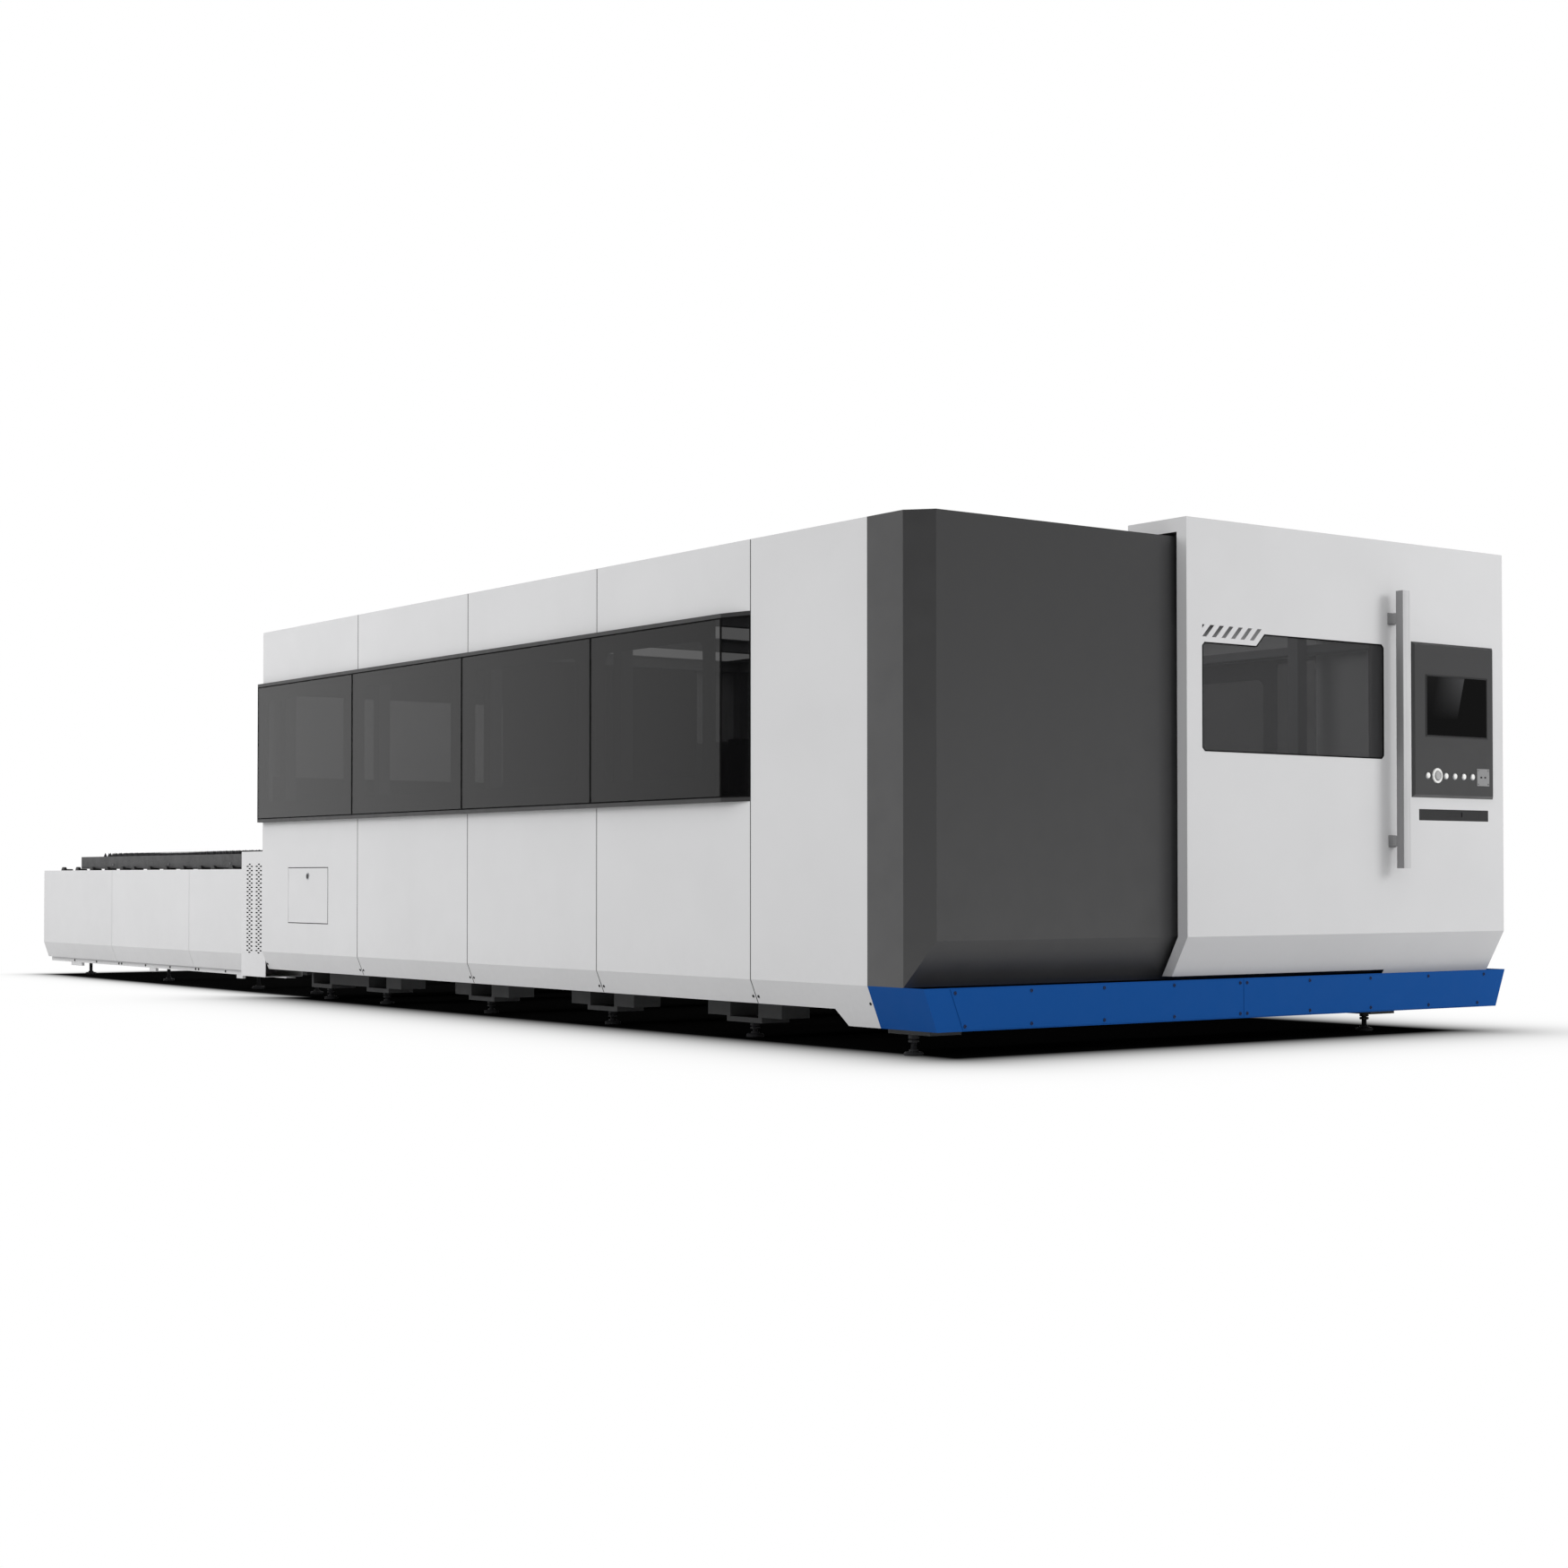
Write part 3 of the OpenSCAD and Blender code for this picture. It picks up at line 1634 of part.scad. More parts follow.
upper_pallet_slats();
lower_pallet_frame();
lower_pallet_slats();
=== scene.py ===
"""Dresses the packed fiber laser cutting machine and sets it in a pale studio.

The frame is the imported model. Every place below is in metres, in the frame's own axes: X runs along
the machine towards the door, Y runs across it and Z is up from the floor. The near side is the -Y side.
"""

import logging
import math
from dataclasses import dataclass
from enum import Enum
from typing import Callable, Iterable, Sequence

import bmesh
import bpy
from mathutils import Matrix, Vector


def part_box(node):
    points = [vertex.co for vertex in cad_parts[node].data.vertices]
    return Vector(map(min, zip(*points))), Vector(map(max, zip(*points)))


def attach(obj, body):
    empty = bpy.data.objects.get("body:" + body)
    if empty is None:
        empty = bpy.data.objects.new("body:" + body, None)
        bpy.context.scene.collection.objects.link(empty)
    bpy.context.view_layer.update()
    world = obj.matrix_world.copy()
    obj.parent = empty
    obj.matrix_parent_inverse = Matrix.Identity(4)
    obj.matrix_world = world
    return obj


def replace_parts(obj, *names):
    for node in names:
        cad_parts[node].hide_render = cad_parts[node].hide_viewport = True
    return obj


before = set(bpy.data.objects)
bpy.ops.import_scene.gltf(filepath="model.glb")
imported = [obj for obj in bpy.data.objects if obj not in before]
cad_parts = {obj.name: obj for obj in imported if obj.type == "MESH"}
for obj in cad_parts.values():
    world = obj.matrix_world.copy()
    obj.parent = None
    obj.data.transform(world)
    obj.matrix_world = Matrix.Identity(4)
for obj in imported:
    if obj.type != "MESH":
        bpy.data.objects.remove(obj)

Pair = tuple[float, float]
Point = tuple[float, float, float]
Colour = tuple[float, float, float]
Profile = Sequence[Pair]
Row = tuple[float, float, int]
Shape = bmesh.types.BMesh
Socket = bpy.types.NodeSocket
Piece = bpy.types.Object

log = logging.getLogger("laser_cutter")
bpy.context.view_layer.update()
ORIGIN = (0, 0, 0)
WHITE = (1.0, 1.0, 1.0, 1.0)
BLACK = (0.0, 0.0, 0.0, 1.0)


class Axis(Enum):
    """Direction that a turned piece or a fixing points in."""

    PLUS_X = (1.0, 0.0, 0.0)
    MINUS_X = (-1.0, 0.0, 0.0)
    PLUS_Y = (0.0, 1.0, 0.0)
    MINUS_Y = (0.0, -1.0, 0.0)
    PLUS_Z = (0.0, 0.0, 1.0)
    NEAR_FOOT = (0.0, -0.9265, -0.3763)
    FAR_FOOT = (0.0, 0.9265, -0.3763)

    def turn(self) -> Matrix:
        """Returns the matrix that turns +Z into this direction."""
        return Vector((0, 0, 1)).rotation_difference(Vector(self.value)).to_matrix().to_4x4()


class Side(Enum):
    """Near or far side of the machine, as a factor on Y."""

    NEAR = -1.0
    FAR = 1.0

    @property
    def label(self) -> str:
        """Returns the side's name as it stands in the names of nodes and pieces."""
        return self.name.lower()

    def across(self, *places: float) -> list[float]:
        """Returns distances from the middle as places on this side, lowest first."""
        return sorted(self.value * place for place in places)


def both(*names: str) -> tuple[str, ...]:
    """Returns the names of nodes that stand on the near and on the far side."""
    return tuple(f"{side.label}_{name}" for side in Side for name in names)


def row_places(row: Row) -> list[float]:
    """Returns the places of a row, given as its start, its step and its count."""
    return [row[0] + row[1] * i for i in range(row[2])]


def paint(red: int, green: int, blue: int) -> Colour:
    """Turns a colour as seen on a screen, 0 to 255, into a linear one."""
    shares = (c / 255 for c in (red, green, blue))
    return tuple(c / 12.92 if c <= 0.04045 else ((c + 0.055) / 1.055) ** 2.4 for c in shares)


class Nodes:
    """A node tree, with short calls to add and join nodes."""

    def __init__(self, tree: bpy.types.NodeTree) -> None:
        """Keeps the tree to work in."""
        self.tree = tree

    def add(self, kind: str, **inputs: object) -> bpy.types.Node:
        """Adds a node.

        Args:
            kind: Blender's name for the node.
            inputs: Its inputs, as fill takes them.

        Returns:
            The new node.
        """
        node = self.tree.nodes.new(kind)
        self.fill(node, **inputs)
        return node

    def fill(self, node: bpy.types.Node, **inputs: object) -> None:
        """Joins or sets inputs of a node.

        Args:
            node: The node.
            inputs: Sockets to join or values to set, by the input's name with underscores for spaces.
        """
        for key, value in inputs.items():
            self.put(node.inputs[key.replace("_", " ")], value)

    def put(self, socket: Socket, value: object) -> None:
        """Joins an output to a socket, or sets its value.

        Args:
            socket: The input socket.
            value: An output socket, or a plain value.
        """
        if isinstance(value, Socket):
            self.tree.links.new(value, socket)
        else:
            socket.default_value = value

    def place(self) -> Socket:
        """Returns the Object coordinates."""
        return self.add("ShaderNodeTexCoord").outputs["Object"]

    def part(self, vector: Socket, letter: str) -> Socket:
        """Returns one part of a vector."""
        return self.add("ShaderNodeSeparateXYZ", Vector=vector).outputs[letter]

    def noise(self, scale: float, detail: float, stretch: Point = (1, 1, 1)) -> Socket:
        """Adds a noise on Object coordinates.

        Args:
            scale: Grains per metre, about.
            detail: Levels of finer grain.
            stretch: Factors on the coordinates.

        Returns:
            The noise's factor.
        """
        place = self.place()
        if stretch != (1, 1, 1):
            place = self.add("ShaderNodeMapping", Vector=place, Scale=stretch).outputs["Vector"]
        return self.add("ShaderNodeTexNoise", Vector=place, Scale=scale, Detail=detail).outputs["Fac"]

    def ramp(self, value: Socket, given: Pair, wanted: Pair) -> Socket:
        """Maps one range of numbers to another and stops at its ends.

        Args:
            value: The number.
            given: Range that the number comes in.
            wanted: Range that it is mapped to.

        Returns:
            The mapped number.
        """
        ends = dict(zip(("From_Min", "From_Max", "To_Min", "To_Max"), (*given, *wanted)))
        return self.add("ShaderNodeMapRange", Value=value, **ends).outputs["Result"]

    def span(self, noise: Socket, low: float, high: float) -> Socket:
        """Maps the middle of a noise, 0.3 to 0.7, to a range."""
        return self.ramp(noise, (0.3, 0.7), (low, high))

    def mix(self, factor: object, first: object, second: object) -> Socket:
        """Mixes two numbers, or two colours where the second is given as four numbers.

        Args:
            factor: Share of the second.
            first: First number or colour, as a socket or a value.
            second: Second number or colour, as a socket or a value.

        Returns:
            The mixed number or colour.
        """
        node = self.tree.nodes.new("ShaderNodeMix")
        ends, result = (2, 3), 0
        if isinstance(second, tuple):
            node.data_type = "RGBA"
            ends, result = (6, 7), 2
        for place, value in zip((0, *ends), (factor, first, second)):
            self.put(node.inputs[place], value)
        return node.outputs[result]

    def reckon(
        self, operation: str, *values: object, kind: str = "ShaderNodeMath", result: str = "Value"
    ) -> Socket:
        """Works a number or a vector out from others.

        Args:
            operation: Blender's name for the sum.
            values: Sockets or values that go in.
            kind: Blender's name for the node.
            result: Name of the output.

        Returns:
            The result.
        """
        node = self.tree.nodes.new(kind)
        node.operation = operation
        for socket, value in zip(node.inputs, values):
            self.put(socket, value)
        return node.outputs[result]

    def vector(self, operation: str, *values: object, result: str = "Vector") -> Socket:
        """Works a vector, or the number named as the result, out from vectors."""
        return self.reckon(operation, *values, kind="ShaderNodeVectorMath", result=result)


@dataclass(frozen=True)
class Finish:
    """A finish that dresses pieces and carried-over nodes alike.

    Clouds vary the colour between two tints, haze varies the roughness by the dulling, and grain is
    a relief with a strength and a depth. Each noise is given by its grains per metre and its levels
    of detail, and is stretched along the lines.
    """

    name: str
    colour: Colour
    roughness: float
    slot: str
    specular: float = 0.5
    metallic: float = 0.0
    coat: float = 0.0
    cover: float = 1.0
    lines: Point = (1, 1, 1)
    clouds: Pair = (1.7, 3.0)
    tints: Pair = (0.98, 1.02)
    haze: Pair = (9.0, 5.0)
    dulling: Pair = (-0.05, 0.05)
    grain: Pair = (420.0, 2.0)
    relief: Pair = (0.12, 0.0005)

    def material(self) -> bpy.types.Material:
        """Finds the finish's material, or makes it at its first use.

        Returns:
            The material.
        """
        made = bpy.data.materials.get(self.name)
        if not made:
            made = bpy.data.materials.new(self.name)
            made.use_nodes = True
            self.weave(Nodes(made.node_tree), made.node_tree.nodes["Principled BSDF"])
            made.diffuse_color = self.tinted(1.0)
        return made

    def tinted(self, factor: float) -> tuple[float, float, float, float]:
        """Returns the colour, lighter or darker by a factor, with full cover."""
        return (*(min(1.0, c * factor) for c in self.colour), 1.0)

    def shade(self, nodes: Nodes) -> Socket:
        """Returns the clouded colour."""
        share = nodes.span(nodes.noise(*self.clouds, self.lines), 0.0, 1.0)
        return nodes.mix(share, *(self.tinted(tint) for tint in self.tints))

    def weave(self, nodes: Nodes, shader: bpy.types.Node) -> None:
        """Joins colour, haze and grain to the shader.

        Args:
            nodes: The material's tree.
            shader: Its principled shader.
        """
        dull = (self.roughness + change for change in self.dulling)
        nodes.fill(
            shader,
            Base_Color=self.shade(nodes),
            Roughness=nodes.span(nodes.noise(*self.haze, self.lines), *dull),
            Specular_IOR_Level=self.specular,
            Metallic=self.metallic,
            Coat_Weight=self.coat,
            Alpha=self.cover,
        )
        strength, depth = self.relief
        if strength:
            height = nodes.noise(*self.grain, self.lines)
            bump = nodes.add("ShaderNodeBump", Height=height, Strength=strength, Distance=depth)
            nodes.fill(shader, Normal=bump.outputs["Normal"])


@dataclass(frozen=True)
class PowderCoat(Finish):
    """Sprayed and baked paint: fine orange peel, faint clouds and a little dust low down."""

    specular: float = 0.4
    dust: float = 0.05
    dust_z: Pair = (0.05, 0.45)
    dust_noise: Pair = (38.0, 4.0)
    dust_range: Pair = (0.4, 1.6)
    dust_colour: tuple[float, ...] = (0.20, 0.19, 0.18, 1.0)

    def shade(self, nodes: Nodes) -> Socket:
        """Works out the clouded colour under its dust.

        Args:
            nodes: The material's tree.

        Returns:
            The colour.
        """
        low = nodes.ramp(nodes.part(nodes.place(), "Z"), self.dust_z, (self.dust, 0.0))
        specks = nodes.span(nodes.noise(*self.dust_noise), *self.dust_range)
        share = nodes.reckon("MULTIPLY", low, specks)
        return nodes.mix(share, super().shade(nodes), self.dust_colour)


@dataclass(frozen=True)
class BareMetal(Finish):
    """Ground or drawn metal, with fine lines along one direction and faint stains."""

    slot: str = "steel"
    metallic: float = 1.0
    lines: Point = (1.0, 40.0, 40.0)
    clouds: Pair = (60.0, 3.0)
    tints: Pair = (0.88, 1.06)
    haze: Pair = (60.0, 3.0)
    dulling: Pair = (-0.08, 0.1)
    grain: Pair = (60.0, 3.0)
    relief: Pair = (0.12, 0.0002)
    stains: Pair = (5.0, 4.0)
    stain_share: float = 0.18
    stain_tint: float = 0.7

    def shade(self, nodes: Nodes) -> Socket:
        """Returns the lined colour with its stains."""
        share = nodes.span(nodes.noise(*self.stains), 0.0, self.stain_share)
        return nodes.mix(share, super().shade(nodes), self.tinted(self.stain_tint))


@dataclass(frozen=True)
class MillScale(Finish):
    """Blackened or raw steel, with blotches, pits and a dry sheen."""

    slot: str = "black_steel"
    specular: float = 0.35
    clouds: Pair = (14.0, 6.0)
    tints: Pair = (0.75, 1.3)
    haze: Pair = (160.0, 4.0)
    dulling: Pair = (-0.12, 0.12)
    grain: Pair = (160.0, 4.0)
    relief: Pair = (0.25, 0.0006)


@dataclass(frozen=True)
class MouldedPlastic(Finish):
    """Moulded plastic with a fine spark grain."""

    slot: str = "black_plastic"
    clouds: Pair = (24.0, 3.0)
    tints: Pair = (0.95, 1.05)
    haze: Pair = (24.0, 3.0)
    grain: Pair = (900.0, 2.0)
    relief: Pair = (0.15, 0.0002)


@dataclass(frozen=True)
class TintedGlass(Finish):
    """Grey laser safety glass: see-through, with a faint smoky cloud and a clean gloss."""

    slot: str = "window_glass"
    cover: float = 0.55
    clouds: Pair = (1.1, 2.0)
    tints: Pair = (0.9, 1.1)
    haze: Pair = (3.0, 2.0)
    dulling: Pair = (0.0, 0.03)
    relief: Pair = (0.0, 0.0)


@dataclass(frozen=True)
class ScreenGlass(Finish):
    """Switched-off display: black glass with a painted glare, a dim slanted highlight in its colour."""

    slot: str = "screen_glass"
    specular: float = 0.1
    haze: Pair = (30.0, 2.0)
    dulling: Pair = (-0.01, 0.03)
    relief: Pair = (0.0, 0.0)
    # Place, slant and fades of the painted glare; sheen is its colour, a painted highlight.
    middle: Point = (5.099, 1.33, 1.47)
    slope: float = -0.28
    edge: Pair = (0.018, 0.022)
    fade: Pair = (-0.17, 0.02)
    faintest: float = 0.08
    rise: Pair = (-0.06, 0.13)
    sheen: tuple[float, ...] = (0.052, 0.052, 0.054, 1.0)

    def shade(self, nodes: Nodes) -> Socket:
        """Works out the colour with a painted glare: a slanted highlight that fades down and away.

        Args:
            nodes: The material's tree.

        Returns:
            The colour.
        """
        local = nodes.vector("SUBTRACT", nodes.place(), self.middle)
        height = nodes.part(local, "Z")
        slant = nodes.reckon("MULTIPLY_ADD", height, self.slope, nodes.part(local, "Y"))
        edge = nodes.ramp(slant, self.edge, (1.0, 0.0))
        near = nodes.ramp(slant, self.fade, (self.faintest, 1.0))
        high = nodes.ramp(height, self.rise, (0.0, 1.0))
        # share masks the painted glare.
        share = nodes.reckon("MULTIPLY", nodes.reckon("MULTIPLY", edge, near), high)
        return nodes.mix(share, self.tinted(1.0), self.sheen)


UPRIGHT_LINES = (1.0, 1.0, 0.02)
FINE = (220.0, 3.0)
WHITE_COAT = PowderCoat("white_powder_coat", paint(205, 205, 206), 0.5, "white_panel")
DARK_COAT = PowderCoat("dark_powder_coat", paint(46, 46, 47), 0.42, "dark_panel", specular=0.95)
GREY_COAT = PowderCoat("grey_frame_coat", paint(120, 121, 123), 0.6, "frame_grey", specular=0.3)
BASE_COAT = PowderCoat("dark_base_coat", paint(78, 79, 80), 0.6, "frame_grey", specular=0.3)
BLUE_COAT = PowderCoat(
    "blue_powder_coat", paint(8, 71, 139), 0.6, "blue_panel", specular=0.12, tints=(0.985, 1.015), dust=0.0
)
BLACK_STEEL = MillScale("blackened_steel", paint(46, 46, 48), 0.6)
PALLET_STEEL = MillScale("pallet_steel", paint(62, 62, 63), 0.55)
RUBBER = MouldedPlastic("roller_rubber", paint(26, 26, 27), 0.55, grain=(300.0, 2.0))
GROUND_STEEL = BareMetal("ground_steel", paint(190, 191, 194), 0.35, lines=(0.05, 1.0, 1.0))
# Shaded and lit copies of one satin metal: the darker paints shade on the handle's sides, the lighter paints
# light on its front.
SHADED_SATIN_BAR = BareMetal("satin_handle_bar", paint(146, 146, 147), 0.6, lines=UPRIGHT_LINES, metallic=0.15)
LIT_SATIN_FACE = BareMetal("satin_handle_face", paint(199, 199, 200), 0.6, lines=UPRIGHT_LINES, metallic=0.1)
PRESSED_METAL = BareMetal("pressed_socket_metal", paint(150, 150, 151), 0.5, metallic=0.25)
ZINC = BareMetal(
    "zinc_fixings", paint(150, 151, 153), 0.4, lines=(1, 1, 1), clouds=FINE, haze=FINE, grain=FINE
)
BLACK_FIXING = MillScale("black_fixings", paint(30, 31, 33), 0.45)
BLUE_FIXING = PowderCoat("blue_fixings", paint(8, 34, 76), 0.5, "blue_panel", dust=0.0)
DARK_LINING = PowderCoat("dark_lining", paint(30, 30, 31), 0.6, "dark_panel", specular=0.2, dust=0.0)
RIBBON_GLASS = TintedGlass("smoked_ribbon_glass", paint(10, 10, 11), 0.02, cover=0.74, specular=0.3)
DOOR_GLASS = TintedGlass("smoked_door_glass", paint(60, 60, 61), 0.02)
# Screen glass whose colour carries a painted glare.
DISPLAY = ScreenGlass("display_glass", paint(3, 3, 3), 0.06)
BLACK_PLASTIC = MouldedPlastic("black_plastic_trim", paint(36, 36, 37), 0.45)
# Black rubber for the seals, also the near-black plate that paints shade behind the pillar slots.
RUBBER_AND_SLOT_SHADE = MouldedPlastic("seal_rubber", paint(10, 10, 10), 0.8, grain=(500.0, 2.0), specular=0.08)
# Grey sealant for the wall seams, also the dark strip that paints shade in the hatch's gap.
SEALANT_AND_GAP_SHADE = MouldedPlastic("seam_sealant", paint(52, 52, 52), 0.8, specular=0.1)
KEY_PLASTIC = MouldedPlastic("key_plastic", paint(58, 58, 60), 0.5)
WHITE_PLASTIC = MouldedPlastic("white_plastic_caps", paint(236, 236, 234), 0.35, "white_plastic", coat=0.3)
GREY_PLASTIC = MouldedPlastic("grey_plastic_cap", paint(168, 168, 168), 0.4, "grey_plastic")
Coats = tuple[tuple[Finish, tuple[str, ...]], ...]


class Bench:
    """Shop calls that the sub-assemblies share: mesh making, dressing and logging."""

    sharp_angle: float = math.radians(32)
    mitre_limit: float = 0.3

    @staticmethod
    def dress(names: Iterable[str], finish: Finish) -> None:
        """Puts a finish on carried-over nodes.

        Args:
            names: Names of the nodes.
            finish: Their finish.
        """
        for name in names:
            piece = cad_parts[name]
            if not piece.material_slots:
                piece.data.materials.append(finish.material())
            for place in piece.material_slots:
                place.material = finish.material()
            log.info("dressed %s in %s", name, finish.name)

    @staticmethod
    def place(name: str, data: bpy.types.ID) -> Piece:
        """Places new data in the scene.

        Args:
            name: Name of the object.
            data: Its mesh, camera or lamp.

        Returns:
            The object.
        """
        made = bpy.data.objects.new(name, data)
        bpy.context.scene.collection.objects.link(made)
        return made

    @staticmethod
    def mesh(name: str, shape: Shape, outward: bool = True) -> bpy.types.Mesh:
        """Turns a shape into a mesh.

        Args:
            name: Name of the mesh.
            shape: The shape. It is freed.
            outward: Whether its faces are turned outward first.

        Returns:
            The mesh.
        """
        if outward:
            bmesh.ops.recalc_face_normals(shape, faces=shape.faces)
        mesh = bpy.data.meshes.new(name)
        shape.to_mesh(mesh)
        shape.free()
        return mesh

    @staticmethod
    def piece(name: str, made: Shape | bpy.types.Mesh, finish: Finish, body: str = "machine") -> Piece:
        """Makes a finished piece from a shape or a mesh and lets it ride on a body.

        Args:
            name: Name of the piece.
            made: Its mesh, or its shape, which is freed. Both are in the frame's axes.
            finish: Its finish.
            body: The body that carries it.

        Returns:
            The piece.
        """
        mesh = Bench.mesh(name, made) if isinstance(made, Shape) else made
        if not mesh.materials:
            mesh.materials.append(finish.material())
        mesh.shade_smooth()
        mesh.set_sharp_from_angle(angle=Bench.sharp_angle)
        piece = Bench.place(name, mesh)
        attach(piece, body)
        log.info("made %s with %d faces, on %s", name, len(mesh.polygons), body)
        return piece

    @staticmethod
    def join(shape: Shape, rings: Sequence[Sequence[bmesh.types.BMVert]], endless: bool = False) -> None:
        """Spans faces from ring to ring, and closes both ends unless the last ring meets the first.

        Args:
            shape: The shape to add to.
            rings: Rings of points, each with one point or with as many as the longest.
            endless: Whether the last ring meets the first.
        """
        count = max(len(ring) for ring in rings)
        for low, high in zip(rings, [*rings[1:], rings[0]] if endless else rings[1:]):
            for i in range(count):
                j = (i + 1) % count
                corners = (low[i % len(low)], low[j % len(low)], high[j % len(high)], high[i % len(high)])
                corners = tuple(dict.fromkeys(corners))
                if len(corners) > 2:
                    shape.faces.new(corners)
        for ring in () if endless else (rings[0], rings[-1]):
            if len(ring) > 1:
                shape.faces.new(ring)

    @staticmethod
    def lathe(shape: Shape, profile: Profile, place: Point, axis: Axis, steps: int) -> None:
        """Turns a profile about an axis and adds the closed result to a shape.

        Args:
            shape: The shape to add to.
            profile: Radius and height pairs, from one end of the axis to the other.
            place: The point of the axis at height 0.
            axis: The direction of the axis.
            steps: Faces around the axis.
        """
        turn = Matrix.Translation(place) @ axis.turn()
        endless = profile[0] == profile[-1]
        rings = []
        for radius, height in profile[:-1] if endless else profile:
            count = steps if radius else 1
            angles = (2 * math.pi * i / count for i in range(count))
            spots = (Vector((radius * math.cos(a), radius * math.sin(a), height)) for a in angles)
            rings.append([shape.verts.new(turn @ spot) for spot in spots])
        Bench.join(shape, rings, endless)

    @staticmethod
    def slab(shape: Shape, low: Point, high: Point, edge: float = 0.0, steps: int = 2) -> None:
        """Adds a block with rounded edges to a shape.

        Args:
            shape: The shape to add to.
            low: Lowest corner.
            high: Highest corner.
            edge: Radius of its edges.
            steps: Faces across an edge.
        """
        size = Vector(high) - Vector(low)
        place = Matrix.Translation((Vector(low) + Vector(high)) / 2) @ Matrix.Diagonal((*size, 1.0))
        verts = bmesh.ops.create_cube(shape, size=1.0, matrix=place)["verts"]
        if edge > 0:
            edges = list({e for v in verts for e in v.link_edges})
            bmesh.ops.bevel(
                shape, geom=edges, offset=edge, segments=steps, profile=0.5, affect="EDGES",
                clamp_overlap=True
            )

    @staticmethod
    def across_x(y: float, z: float, x: float) -> Point:
        """Returns the point at two places in a plane across X and one place along X."""
        return (x, y, z)

    @staticmethod
    def band(
        shape: Shape, outline: Profile, width: float, depth: Pair, lift: Callable[..., Point]
    ) -> None:
        """Adds a closed band that follows a flat outline to a shape.

        Args:
            shape: The shape to add to.
            outline: Corners of the outline, in order, anticlockwise.
            width: Width of the band, outwards from the outline.
            depth: Lowest and highest place of the band across the outline's plane.
            lift: Turns two places in the plane and one across it into a point.
        """
        outer, count = [], len(outline)
        for i in range(count):
            here, before, after = (Vector(outline[k]) for k in (i, i - 1, (i + 1) % count))
            first, second = (here - before).normalized(), (after - here).normalized()
            normals = Vector((first.y, -first.x)), Vector((second.y, -second.x))
            mitre = (normals[0] + normals[1]).normalized()
            outer.append(here + mitre * (width / max(Bench.mitre_limit, mitre.dot(normals[0]))))
        edges = ((outline, depth[0]), (outer, depth[0]), (outer, depth[1]), (outline, depth[1]))
        rings = [[shape.verts.new(lift(p[0], p[1], d)) for p in points] for points, d in edges]
        Bench.join(shape, rings, endless=True)


class Spread(Enum):
    """How a repeater finds the places of its copies."""

    POINTS = "points"
    GRID = "grid"
    LINE = "line"


